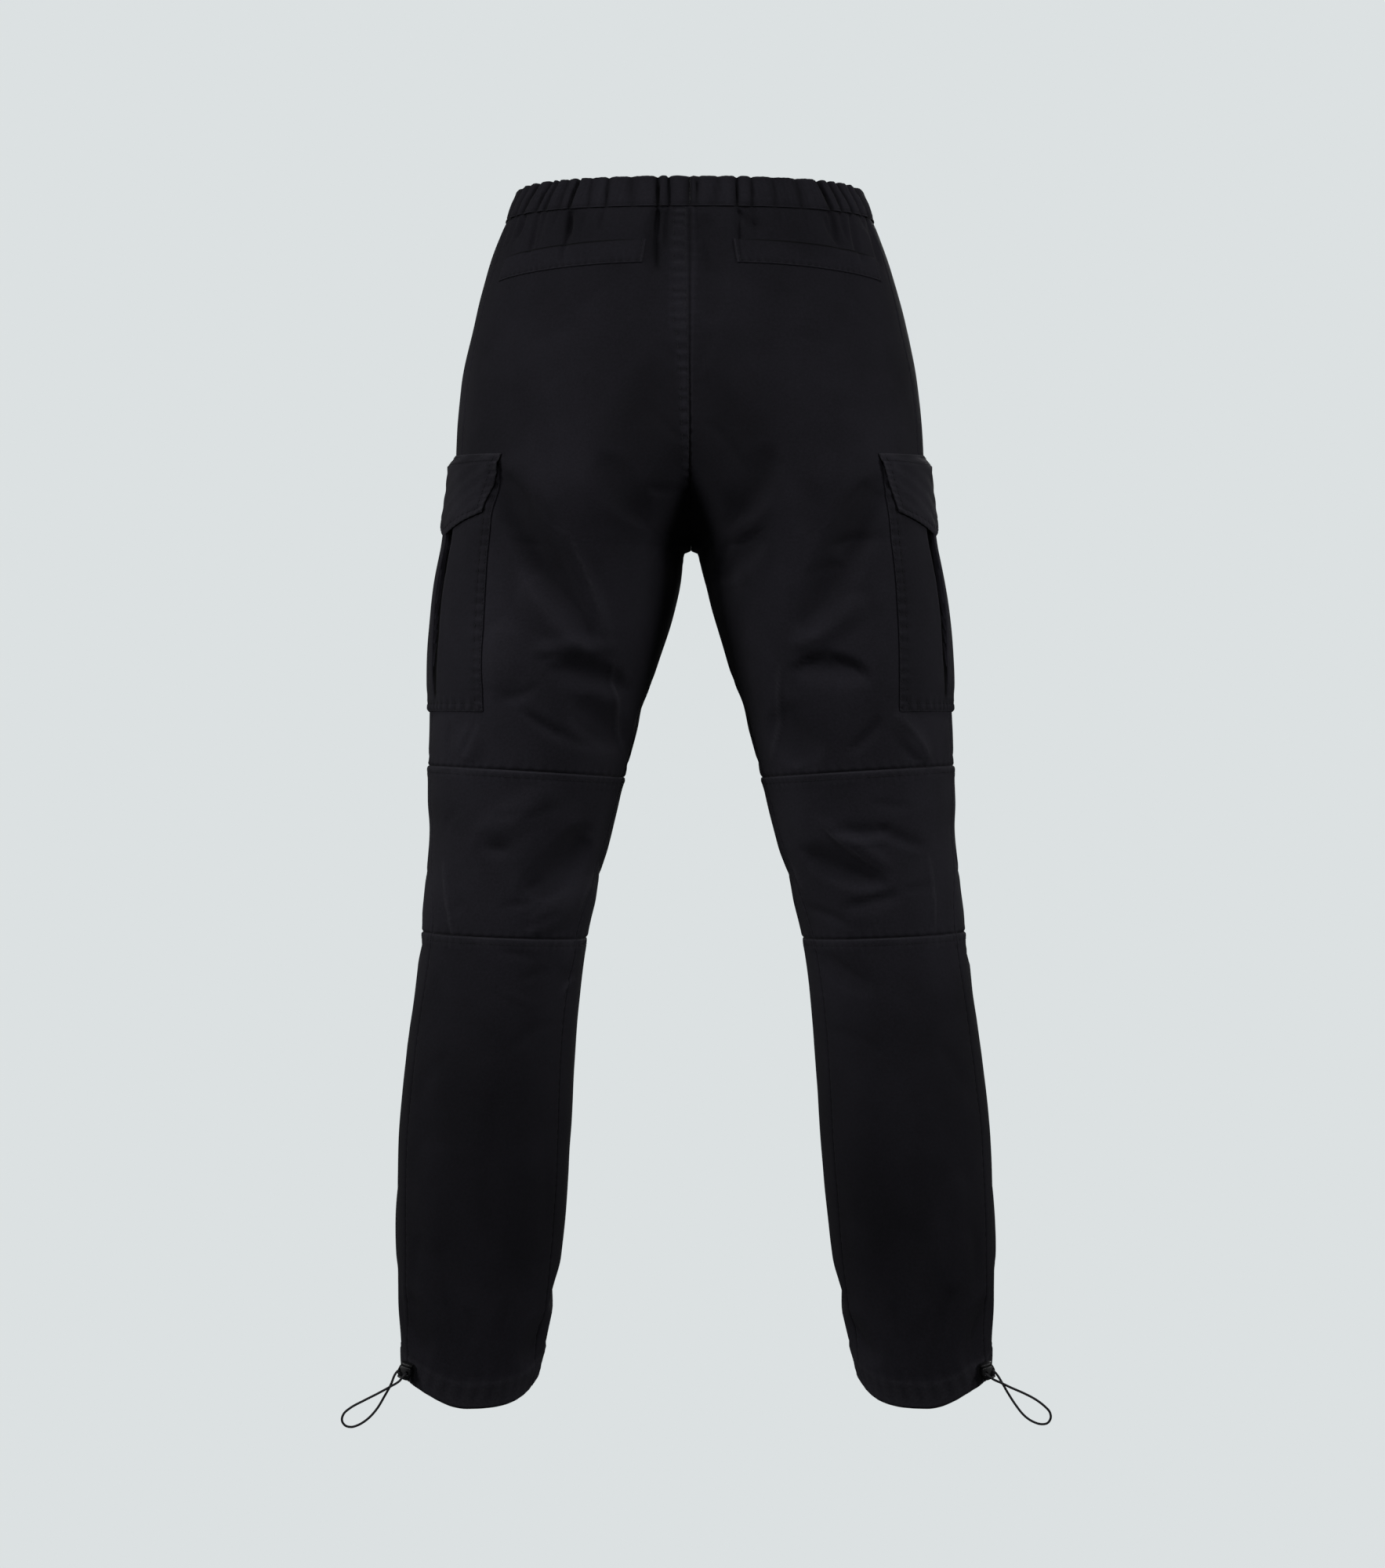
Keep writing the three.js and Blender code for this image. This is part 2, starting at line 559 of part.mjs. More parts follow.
// The lock's body: a barrel with a foot, and two holes that the cord runs through.
function toggleBody() {
  const w = TOGGLE.width / 2;
  const low = -TOGGLE.height / 2;
  const high = TOGGLE.height / 2 - TOGGLE.cap - SEAM_GAP;
  const shape = new THREE.Shape();
  shape.moveTo(-w * 0.8, low);
  shape.lineTo(w * 0.8, low);
  shape.lineTo(w * 0.86, low + 1.6);
  shape.quadraticCurveTo(w * 1.14, 0, w * 0.82, high);
  shape.lineTo(-w * 0.82, high);
  shape.quadraticCurveTo(-w * 1.14, 0, -w * 0.86, low + 1.6);
  shape.closePath();
  for (const s of [-1, 1]) {
    const hole = new THREE.Path();
    hole.absarc(s * TOGGLE.holeSpread, -0.6, TOGGLE.holeRadius, 0, 2 * Math.PI, true);
    shape.holes.push(hole);
  }
  const options = { depth: TOGGLE.depth, bevelEnabled: false, curveSegments: 6 };
  const geometry = new THREE.ExtrudeGeometry(shape, options);
  return geometry.translate(0, 0, -TOGGLE.depth / 2).rotateX(Math.PI / 2);
}

// The push button on top, held up by the spring inside.
function toggleButton() {
  const w = TOGGLE.width * 0.46;
  const d = TOGGLE.depth * 0.46;
  const shape = new THREE.Shape();
  shape.absellipse(0, 0, w, d, 0, 2 * Math.PI, false, 0);
  const options = { depth: TOGGLE.cap, bevelEnabled: false, curveSegments: 8 };
  const geometry = new THREE.ExtrudeGeometry(shape, options);
  return geometry.translate(0, 0, TOGGLE.height / 2 - TOGGLE.cap);
}

function hemCord(side) {
  const route = CORD_ROUTES[side > 0 ? "right" : "left"];
  const path = new THREE.CatmullRomCurve3(route.map((p) => new THREE.Vector3(...p)), false, "centripetal");
  const shape = new THREE.Shape();
  shape.absarc(0, 0, CORD_RADIUS, 0, 2 * Math.PI);
  const options = { steps: 34, extrudePath: path, bevelEnabled: false, curveSegments: 4 };
  return new THREE.ExtrudeGeometry(shape, options);
}

const group = new THREE.Group();
for (const [name, side] of [["left", -1], ["right", 1]]) {
  group.add(piece(`waistband_${name}`, waistband(side), CLOTH));
  for (const face of ["back", "front"]) {
    const upper = panel(side, face, -WAISTBAND_HEIGHT, UPPER_KNEE_Z, face === "back" ? 14 : 11, 21);
    group.add(piece(`${face}_upper_${name}`, upper, CLOTH));
    const knee = panel(side, face, UPPER_KNEE_Z, LOWER_KNEE_Z, 11, 20);
    group.add(piece(`${face}_knee_${name}`, knee, CLOTH));
    const lower = lowerPanel(side, face, 10, 30);
    group.add(piece(`${face}_lower_${name}`, lower, CLOTH));
  }
  group.add(piece(`back_welt_${name}`, welt(side), CLOTH));
  group.add(piece(`cargo_pocket_${name}`, cargoPocket(side), CLOTH));
  group.add(piece(`cargo_flap_${name}`, cargoFlap(side), CLOTH));
  const toggle = toggleFrame(side);
  toggle.add(piece(`toggle_body_${name}`, toggleBody(), PLASTIC));
  toggle.add(piece(`toggle_button_${name}`, toggleButton(), PLASTIC));
  group.add(toggle);
  group.add(piece(`hem_cord_${name}`, hemCord(side), ELASTIC));
}

export default group;
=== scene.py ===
"""Black cotton cargo trousers, filled out as worn: the visible cloth, cords and locks."""
import logging
import math
from dataclasses import dataclass, field
from enum import Enum

import bpy
import numpy as np
from mathutils import Matrix, Vector, noise


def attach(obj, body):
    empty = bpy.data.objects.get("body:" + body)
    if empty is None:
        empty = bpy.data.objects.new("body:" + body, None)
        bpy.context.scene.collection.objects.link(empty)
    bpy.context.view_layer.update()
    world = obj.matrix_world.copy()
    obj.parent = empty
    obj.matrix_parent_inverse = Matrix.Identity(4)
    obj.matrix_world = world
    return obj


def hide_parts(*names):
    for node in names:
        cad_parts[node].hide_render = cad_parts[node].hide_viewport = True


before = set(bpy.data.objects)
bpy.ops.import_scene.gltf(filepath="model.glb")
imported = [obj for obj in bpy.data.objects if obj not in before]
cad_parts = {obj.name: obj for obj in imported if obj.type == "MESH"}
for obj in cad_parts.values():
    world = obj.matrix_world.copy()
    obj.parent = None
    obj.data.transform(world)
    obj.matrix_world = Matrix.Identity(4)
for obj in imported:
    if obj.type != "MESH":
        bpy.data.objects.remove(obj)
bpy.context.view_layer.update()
LOG = logging.getLogger("trousers")

# Sizes are in millimetres until a mesh is made, and in metres after that.
MM = 0.001
SHELL = 1.1
ALLOWANCE = 2.5
SEAM_GAP = 0.3
MIDDLE_GAP = 0.004
LAY_GAP = 0.5
WAISTBAND_HEIGHT = 26.0
UPPER_KNEE_Z = -490.0
LOWER_KNEE_Z = -628.0
CROTCH_Z = -303.0
CROTCH_FOOT_Z = -305.0
HEM_Z = -996.0
HEM_BAND = 23.0
HEM_LIFT = 6.0
HEM_SLOPE = 0.447
TOPSTITCH = 5.6
STITCH_LIFT = 0.22
STITCH_SINK = 0.2
FELL_STITCHES = (1.3, 6.2)
CREST_WIDTH = 4.5
CORD_DIAMETER = 2.0

# Distances from an edge at which a cloth's grid has a line, so that the edge is rolled smoothly.
EDGE_STEPS = (0.0, 0.5, 1.1, 1.9, 2.9, 4.1, 5.6, 7.2)


class Table:
    """Rows with named columns, the first of them a height, read with smooth monotone curves."""

    def __init__(self, names: str, rows: list[tuple]) -> None:
        """Keeps the rows.

        Args:
            names: The columns' names, with spaces between.
            rows: One tuple for each row.
        """
        self.names = names.split()
        self.rows = rows

    def column(self, name: str) -> np.ndarray:
        """Returns one column as an array."""
        return np.array([row[self.names.index(name)] for row in self.rows], dtype=float)

    def records(self) -> list[dict]:
        """Returns the rows as dictionaries."""
        return [dict(zip(self.names, row)) for row in self.rows]

    def read(self, name: str, z: np.ndarray) -> np.ndarray:
        """Reads a column at heights.

        Args:
            name: The column.
            z: Heights, in millimetres.

        Returns:
            The column's values there.
        """
        heights = self.column(self.names[0])[::-1]
        values = self.column(name)[::-1]
        rate = np.diff(values) / np.diff(heights)
        total = rate[:-1] + rate[1:]
        same = rate[:-1] * rate[1:] > 0
        inner = np.where(same, 2 * rate[:-1] * rate[1:] / np.where(same, total, 1), 0)
        tangent = np.concatenate([[0], inner, [0]])
        z = np.clip(z, heights[0], heights[-1])
        i = np.clip(np.searchsorted(heights, z, side="right") - 1, 0, len(heights) - 2)
        step = heights[i + 1] - heights[i]
        t = (z - heights[i]) / step
        return (
            (2 * t**3 - 3 * t**2 + 1) * values[i]
            + (t**3 - 2 * t**2 + t) * step * tangent[i]
            + (3 * t**2 - 2 * t**3) * values[i + 1]
            + (t**3 - t**2) * step * tangent[i + 1]
        )


# The level sections of the right half: their limits across and in depth.
SECTIONS = Table("z outer inner back front", [
    (0, 146, -146, -97, 95),
    (-14, 151, -151, -100, 98),
    (-26, 155, -155, -103, 100),
    (-35, 159, -158, -106, 102),
    (-68, 171, -166, -114, 107),
    (-115, 183, -165, -124, 112),
    (-168, 193, -130, -132, 115),
    (-218, 197, -84, -136, 117),
    (-250, 198, -44, -136, 118),
    (-275, 200.5, -16, -134, 118),
    (-292, 202.5, -1.5, -132, 117),
    (CROTCH_Z, 204, 4.6, -131, 116.4),
    (CROTCH_FOOT_Z, 204.4, 5.4, -130.8, 116.3),
    (-328, 209, 9.8, -128, 115),
    (-355, 213, 16, -125, 113),
    (-401, 218, 30.5, -119, 109),
    (-444, 221, 45, -112, 105),
    (-490, 223, 58, -103, 101),
    (-520, 224, 65, -97, 98),
    (-541, 223, 70, -94, 97),
    (-580, 226, 80, -89, 92),
    (-628, 231.5, 91, -86, 85),
    (-674, 236, 97, -86, 78),
    (-734, 244, 102, -86, 70),
    (-800, 250, 105.5, -83, 64),
    (-867, 252, 111, -78, 60),
    (-933, 252, 120, -72, 57),
    (-970, 250, 128, -67, 54),
    (HEM_Z, 249, 134, -62, 51),
])

# How square the sections are, their shift to the wearer's right, and their rise and slope.
HANG = Table("z round outerLean innerLean rise slope", [
    (0, 2.4, 0, 0, 0, 0),
    (-168, 2.35, 0, 0, 0, 0),
    (CROTCH_Z, 2.2, 0, 1, 0, 0),
    (-340, 2.15, 0, 3, 0, 0),
    (-420, 2.1, 0.5, 3, 2, 0),
    (UPPER_KNEE_Z, 2.05, 1, 3, 5, 0),
    (LOWER_KNEE_Z, 2, 3, 4, 3, 0),
    (-740, 2, 3.5, 4.5, 0, 0),
    (-900, 2, 5, 6, 0, 0.1),
    (HEM_Z, 2, 5.5, 6.5, 0, HEM_SLOPE),
])

# Where the upright seams lie, in degrees round the leg from its inner side.
SEAMS = Table("z inseam outseam", [
    (0, 0, 162),
    (-115, 0, 161),
    (CROTCH_Z, 0, 160),
    (-401, 7, 161),
    (UPPER_KNEE_Z, 11, 162),
    (-560, 19, 160),
    (LOWER_KNEE_Z, 28, 146),
    (-700, 31, 150),
    (HEM_Z, 25, 152),
])

# Broad folds, near those of the solids. "lean" moves a fold's deepest line to one side.
FOLDS = Table("face across1 z1 across2 z2 width depth lean", [
    ("back", -25, -30, -27, -84, 15, -5, 0),
    ("back", 15, -38, 19, -120, 17, -3.5, 0),
    ("back", -95, -28, -98, -52, 15, -2.5, 0),
    ("back", 112, -28, 125, -58, 14, -3, 0),
    ("back", 44, -26, 58, -46, 12, -2.5, 0),
    ("back", -8, -150, -70, -262, 34, -2.5, 0),
    ("back", 8, -170, 62, -262, 34, -2.5, 0),
    ("back", -155, -248, -82, -380, 27, -11.5, -0.15),
    ("back", -104, -292, -66, -382, 12, 2.5, 0),
    ("back", -134, -336, -88, -384, 25, 6, 0),
    ("back", -150, -372, -158, -424, 24, 4, 0),
    ("back", -126, -392, -62, -388, 12, 3, 0),
    ("back", -110, -411, -56, -423, 22, -7.5, 0.4),
    ("back", 150, -256, 92, -376, 26, -10, 0.15),
    ("back", 160, -300, 118, -308, 14, -2.6, 0),
    ("back", 82, -262, 84, -344, 18, 2.5, 0),
    ("back", 88, -386, 142, -352, 18, 4.5, 0),
    ("back", 88, -410, 142, -414, 20, -6.5, 0.4),
    ("back", 24, -330, 60, -298, 16, -4, 0),
    ("back", 66, -230, 36, -282, 23, -5, 0.2),
    ("back", -70, -236, -40, -284, 20, -4, 0),
    ("back", -176, -455, -187, -481, 17, 3, 0),
    ("back", 170, -444, 197, -482, 14, 3.5, 0),
    ("back", -94, -436, -58, -470, 26, -6.5, 0.2),
    ("back", 78, -436, 100, -482, 26, -6.5, -0.2),
    ("back", -90, -540, -134, -590, 27, -10.5, 0.35),
    ("back", -112, -506, -176, -548, 20, 3, 0),
    ("back", -78, -584, -130, -622, 17, 4, 0),
    ("back", -174, -544, -150, -558, 15, -2, 0),
    ("back", 120, -537, 164, -536, 12, -3.6, -0.5),
    ("back", 160, -536, 194, -550, 12, -3.2, -0.5),
    ("back", 99, -555, 158, -579, 21, -8, -0.35),
    ("back", 108, -532, 166, -570, 9, 2.2, 0),
    ("back", 130, -604, 172, -593, 12, -2.5, 0),
    ("back", 112, -644, 150, -670, 18, -3.4, -0.2),
    ("back", -89, -633, -103, -657, 17, 3, 0),
    ("back", -213, -800, -211, -885, 22, 3, 0),
    ("back", 221, -830, 220, -919, 22, 3, 0),
    ("back", -236, -931, -220, -977, 17, -4, 0),
    ("back", -121, -950, -135, -988, 16, -4, 0),
    ("back", 247, -934, 234, -988, 17, -4, 0),
    ("back", 132, -950, 153, -983, 16, -4, 0),
    ("front", -150, -240, -60, -296, 26, -5, 0),
    ("front", 148, -246, 56, -300, 26, -5, 0),
    ("front", -30, -34, -34, -90, 16, -3.5, 0),
    ("front", 36, -34, 44, -96, 17, -3.5, 0),
    ("front", 96, -30, 104, -70, 15, -3, 0),
    ("front", -104, -30, -112, -66, 15, -3, 0),
    ("front", -60, -330, -130, -362, 24, -4, 0),
    ("front", 64, -334, 126, -352, 24, -4, 0),
    ("front", -95, -500, -180, -512, 22, 4, 0),
    ("front", 90, -508, 176, -498, 22, 4, 0),
    ("front", -100, -560, -186, -574, 24, -5, 0),
    ("front", 104, -566, 190, -552, 24, -5, 0),
    ("front", -120, -660, -190, -676, 22, -3.5, 0),
    ("front", 126, -668, 196, -652, 22, -3.5, 0),
    ("front", -150, -880, -190, -930, 22, -3.5, 0),
    ("front", 160, -890, 204, -924, 22, -3.5, 0),
    ("outer", 14, -506, 64, -550, 20, -3.5, 0),
    ("outer", 30, -600, -20, -646, 20, -4, 0),
    ("outer", 12, -830, -6, -905, 22, 3, 0),
    ("inner", 30, -420, -30, -448, 22, -2, 0),
    ("inner", -40, -566, 36, -590, 24, -1.6, 0),
    ("inner", 20, -905, -24, -940, 20, -3.5, 0),
])

# Finer creases. "bow" bends a crease sideways at its middle.
CREASES = Table("face across1 z1 across2 z2 width depth bow", [
    ("back", -25, -30, -26, -80, 7, -3.4, 3),
    ("back", 12, -34, 20, -84, 8, -2, 4),
    ("back", -97, -28, -99, -50, 6, -2.6, 1),
    ("back", -140, -34, -146, -50, 6, -2, 1),
    ("back", 38, -28, 58, -42, 6, -2.6, 2),
    ("back", 113, -32, 124, -54, 6, -2.4, 1),
    ("back", -60, -92, -92, -112, 9, -0.9, 3),
    ("back", 60, -96, 100, -110, 9, -0.9, -3),
    ("back", -88, -128, -130, -140, 12, -0.8, 4),
    ("back", 84, -134, 128, -150, 12, -0.8, -4),
    ("back", 12, -206, 44, -246, 9, -1.2, -4),
    ("back", -8, -258, -34, -260, 8, -1.8, -2),
    ("back", 20, -132, 10, -162, 8, -1.5, 2),
    ("back", -29, -140, -13, -158, 8, -1.2, -2),
    ("back", -32, -192, -8, -220, 9, -1.5, 2),
    ("back", 24, -322, 34, -300, 8, -2.2, -2),
    ("back", 34, -304, 56, -292, 8, -1.8, 3),
    ("back", -18, -290, -34, -318, 8, -0.9, 3),
    ("back", -150, -252, -128, -282, 9, -1.4, -2),
    ("back", -130, -270, -77, -380, 6, 1.6, -6),
    ("back", -96, -304, -70, -378, 3.4, 1.8, -3),
    ("back", -150, -300, -124, -306, 7, -1.4, 1),
    ("back", -158, -284, -138, -292, 6, -1.2, 1),
    ("back", -120, -399, -78, -398, 8, -1.6, -2),
    ("back", -152, -432, -124, -420, 8, -2, 2),
    ("back", -132, -444, -80, -470, 11, -2.4, 3),
    ("back", -138, -440, -104, -462, 8, -1.8, 2),
    ("back", -62, -402, -53.5, -484, 3.2, 2.3, 1),
    ("back", -94, -448, -66, -468, 12, -1.4, 2),
    ("back", -189, -478, -176, -450, 7, -2.2, 1),
    ("back", -198, -452, -199, -476, 5, -1.2, 1),
    ("back", 146, -254, 122, -286, 9, -1.4, 2),
    ("back", 122, -278, 88, -372, 6, 1.6, 8),
    ("back", 121, -306, 156, -301, 8, -1.7, -2),
    ("back", 96, -330, 128, -322, 7, -1.6, -2),
    ("back", 90, -402, 114, -392, 8, -1.8, 2),
    ("back", 112, -392, 140, -406, 8, -1.6, 2),
    ("back", 138, -404, 146, -420, 7, -2, -1),
    ("back", 74, -402, 68, -484, 3.2, 2.3, -1),
    ("back", 84, -446, 104, -470, 12, -1.2, 2),
    ("back", 132, -474, 156, -448, 10, -2.8, 2),
    ("back", 170, -446, 196, -480, 5, 2, -3),
    ("back", 176, -470, 190, -482, 6, -1.4, 1),
    ("back", -92, -530, -142, -582, 5, 1.2, 3),
    ("back", -118, -582, -142, -592, 9, -1.6, 0),
    ("back", -120, -600, -158, -603, 6, -2, 1),
    ("back", -136, -620, -110, -608, 7, -1.8, 1),
    ("back", -71, -564, -95, -606, 3.4, 2.2, 2),
    ("back", -160, -528, -136, -524, 6, -1.2, 1),
    ("back", -168, -552, -150, -556, 7, -2, 1),
    ("back", -192, -520, -204, -540, 8, -1.2, 1),
    ("back", -186, -596, -206, -612, 8, -1.2, -2),
    ("back", -108, -520, -140, -534, 8, -1.2, 2),
    ("back", 122, -547, 166, -547, 5, 1.4, 2),
    ("back", 164, -546, 190, -558, 5, 1.2, 1),
    ("back", 128, -571, 162, -583, 7, -1.8, 1),
    ("back", 112, -538, 160, -573, 3.4, 2.2, 2),
    ("back", 133, -603, 170, -594, 6, -2, -1),
    ("back", 178, -590, 204, -586, 6, -1.8, -1),
    ("back", 96, -604, 134, -620, 8, -2.2, -2),
    ("back", 78, -552, 96, -590, 3.2, 2.3, 1),
    ("back", 150, -516, 184, -520, 8, -1.2, 1),
    ("back", 117, -645, 150, -667, 8, -1.4, 2),
    ("back", -96, -662, -108, -678, 3.4, 2.2, 1),
    ("back", -205, -566, -196, -628, 3.2, 2.2, 2),
    ("back", 198, -560, 203, -624, 3.2, 2.0, -2),
    ("back", -128, -646, -158, -640, 6, -1.6, 1),
    ("back", -126, -684, -156, -672, 5, 1.2, -1),
    ("back", -116, -656, -140, -664, 7, -1.4, 1),
    ("back", 96, -656, 104, -690, 4, 1.4, -1),
    ("back", -112, -700, -150, -722, 12, -0.9, 4),
    ("back", 116, -706, 160, -724, 12, -0.9, -4),
    ("back", -200, -724, -226, -762, 12, -1, 3),
    ("back", 206, -718, 232, -758, 12, -1, -3),
    ("back", -160, -760, -164, -890, 20, -1.6, 6),
    ("back", 186, -760, 190, -900, 20, -1.6, -6),
    ("back", -120, -820, -128, -906, 14, -1.2, -4),
    ("back", 126, -824, 136, -900, 14, -1.2, 4),
    ("back", -226, -880, -232, -940, 11, -1.2, 2),
    ("back", 236, -872, 240, -930, 11, -1.2, -2),
    ("back", -150, -930, -158, -968, 9, -1.4, 2),
    ("back", -184, -938, -180, -966, 8, -1.2, -1),
    ("back", -204, -926, -198, -968, 9, -1.4, -2),
    ("back", 166, -932, 172, -968, 9, -1.4, -2),
    ("back", 196, -940, 192, -968, 8, -1.2, 1),
    ("back", 216, -924, 210, -968, 9, -1.4, 2),
    ("back", -238, -946, -226, -972, 7, -1.8, 1),
    ("back", -122, -954, -132, -980, 7, -1.8, -1),
    ("back", 246, -944, 238, -970, 7, -1.8, 1),
    ("back", 136, -954, 148, -976, 7, -1.8, 1),
    ("front", -20, -240, -70, -286, 10, -1.8, 4),
    ("front", 22, -244, 68, -290, 10, -1.8, -4),
    ("front", -26, -276, -84, -318, 10, -1.5, 5),
    ("front", 28, -280, 82, -320, 10, -1.5, -5),
    ("front", -140, -246, -84, -284, 10, -1.6, -4),
    ("front", 138, -250, 80, -288, 10, -1.6, 4),
    ("front", -70, -338, -124, -358, 10, -1.4, 3),
    ("front", 72, -340, 120, -350, 10, -1.4, -3),
    ("front", -60, -420, -104, -432, 10, -1, 2),
    ("front", 66, -416, 112, -430, 10, -1, -2),
    ("front", -108, -556, -176, -570, 9, -2, 4),
    ("front", 112, -562, 182, -552, 9, -2, -4),
    ("front", -104, -590, -170, -604, 9, -1.5, 3),
    ("front", 108, -594, 176, -584, 9, -1.5, -3),
    ("front", -120, -532, -168, -538, 9, -1.3, 2),
    ("front", 124, -534, 172, -528, 9, -1.3, -2),
    ("front", -126, -656, -184, -672, 9, -1.5, 3),
    ("front", 130, -664, 190, -652, 9, -1.5, -3),
    ("front", -140, -720, -196, -744, 11, -1, 4),
    ("front", 146, -724, 200, -740, 11, -1, -4),
    ("front", -170, -860, -176, -940, 13, -0.9, 4),
    ("front", 184, -856, 190, -936, 13, -0.9, -4),
    ("front", -150, -910, -158, -950, 9, -1.2, 2),
    ("front", 166, -912, 172, -950, 9, -1.2, -2),
    ("outer", -30, -470, 16, -486, 9, -1.3, 2),
    ("outer", 0, -520, 46, -544, 9, -1.6, -3),
    ("outer", -24, -560, 20, -586, 9, -1.4, 3),
    ("outer", 20, -608, -16, -636, 9, -1.5, -2),
    ("outer", 30, -690, -10, -716, 10, -1, 3),
    ("outer", 14, -900, 4, -960, 10, -1.2, 2),
    ("outer", -30, -920, -34, -962, 9, -1.1, -2),
    ("inner", 26, -400, -20, -424, 9, -1.4, 3),
    ("inner", 34, -470, -14, -486, 9, -1.2, -2),
    ("inner", -30, -560, 26, -582, 9, -1, 3),
    ("inner", 30, -620, -24, -640, 9, -1.2, -2),
    ("inner", 12, -910, -16, -944, 9, -1.3, 2),
])

# Where the waistband is pinched, and how deep.
BACK_GATHERS = Table("across depth", [
    (-146, 1.6), (-140, 1.0), (-133, 2.4), (-121, 2.2), (-115, 1.6), (-104, 0.8), (-96, 2.3),
    (-82, 0.7), (-68, 1.3), (-48, 0.6), (-25.5, 2.6), (-17.5, 2.3), (5, 1.6), (22, 0.6),
    (39, 2.4), (51, 1.2), (70, 0.6), (90, 0.8), (112.5, 2.3), (121, 1.8), (129.5, 2.2),
    (138, 1.2), (144, 2.6),
])
FRONT_GATHERS = Table("across depth", [
    (-145, 1.4), (-133, 1.6), (-121, 1.2), (-108, 1.8), (-96, 1.2), (-80, 1.6), (-62, 1.4),
    (-47, 2), (-36, 1.4), (-20, 1.8), (-6, 1.2), (8, 1.6), (26, 1.8), (39, 1.2), (54, 2),
    (70, 1.4), (83, 1.8), (99, 1.2), (110, 1.6), (124, 1.4), (134, 1.6), (146, 1.2),
])

# How much paler or darker the cloth is coloured at each height.
HEIGHT_TONE = Table("z amount", [
    (0, -0.08), (-100, -0.06), (-220, 0), (-300, 0.1), (-400, 0.17), (-480, 0.18),
    (-560, 0.2), (-640, 0.08), (-700, -0.12), (-860, -0.26), (-955, 0.04), (-990, 0.42),
])

# The cords' routes, laid over the photograph.
CORD_ROUTES = {
    "left": [
        (-243.3, -48.4, -991.2), (-244.4, -50.8, -991.7), (-246.5, -52.4, -994.6),
        (-249.6, -52.6, -1002.4), (-254.6, -52.4, -1011.6), (-261.2, -52.2, -1022.6),
        (-268.4, -52.4, -1030.6), (-276.2, -52.8, -1035.8), (-282.6, -53.4, -1037.6),
        (-287.6, -54.2, -1036.2), (-290.2, -55.0, -1031.8), (-288.6, -55.8, -1026.2),
        (-282.4, -56.2, -1020.8), (-271.2, -56.4, -1014.8), (-259.4, -56.4, -1008.8),
        (-249.6, -56.4, -1003.4), (-242.6, -56.4, -999.2), (-239.8, -55.8, -996.0),
        (-238.1, -53.9, -993.8), (-237.0, -51.4, -993.4),
    ],
    "right": [
        (253.1, -47.3, -991.2), (254.2, -49.7, -991.7), (256.9, -51.3, -994.6),
        (261.0, -51.6, -1001.2), (265.3, -51.6, -1008.8), (272.4, -51.4, -1019.8),
        (279.0, -51.4, -1028.0), (285.8, -51.8, -1033.0), (293.2, -52.4, -1035.4),
        (298.6, -53.2, -1034.4), (301.2, -54.0, -1030.2), (300.4, -54.8, -1025.0),
        (295.8, -55.2, -1019.8), (288.0, -55.4, -1014.0), (278.4, -55.4, -1009.0),
        (267.9, -55.4, -1004.4), (260.4, -55.4, -1000.8), (253.0, -55.4, -997.4),
        (249.8, -54.9, -995.0), (247.8, -52.7, -993.5), (246.7, -50.3, -993.4),
    ],
}


class Choice(Enum):
    """Named options. Some of their names are also words in piece names."""

    @property
    def word(self) -> str:
        """Returns the option's name in small letters."""
        return self.name.lower()


class Side(Choice):
    """The two halves, by the sign of x."""

    LEFT = -1
    RIGHT = 1


class Face(Choice):
    """The four sides of a leg. Panels lie on the first two."""

    BACK = "back"
    FRONT = "front"
    OUTER = "outer"
    INNER = "inner"


class Part(Choice):
    """The three lengths of a leg, by the heights of their seams."""

    UPPER = (-WAISTBAND_HEIGHT, UPPER_KNEE_Z)
    KNEE = (UPPER_KNEE_Z, LOWER_KNEE_Z)
    LOWER = (LOWER_KNEE_Z, HEM_Z)


def smoothstep(x: np.ndarray, low: float, high: float) -> np.ndarray:
    """Returns 0 below low, 1 above high and a smooth rise between."""
    t = np.clip((x - low) / (high - low), 0, 1)
    return t * t * (3 - 2 * t)


def bell(x: np.ndarray, width: float) -> np.ndarray:
    """Returns 1 where x is 0, falling smoothly over a width."""
    return np.exp(-((x / width) ** 2))


def signed_power(x: np.ndarray, power: np.ndarray) -> np.ndarray:
    """Returns x to a power, with its sign kept."""
    return np.sign(x) * np.abs(x) ** power


def waver(points: np.ndarray, size: float, seed: float) -> np.ndarray:
    """Gives a soft unevenness from a fixed noise.

    Args:
        points: Places, the last axis x, y, z in millimetres.
        size: The size of its waves, in millimetres.
        seed: Moves the pattern.

    Returns:
        Values from about -1 to 1, one for each place.
    """
    flat = points.reshape(-1, 3) / size + seed
    values = [noise.noise(Vector(p)) for p in flat]
    return np.array(values).reshape(points.shape[:-1])


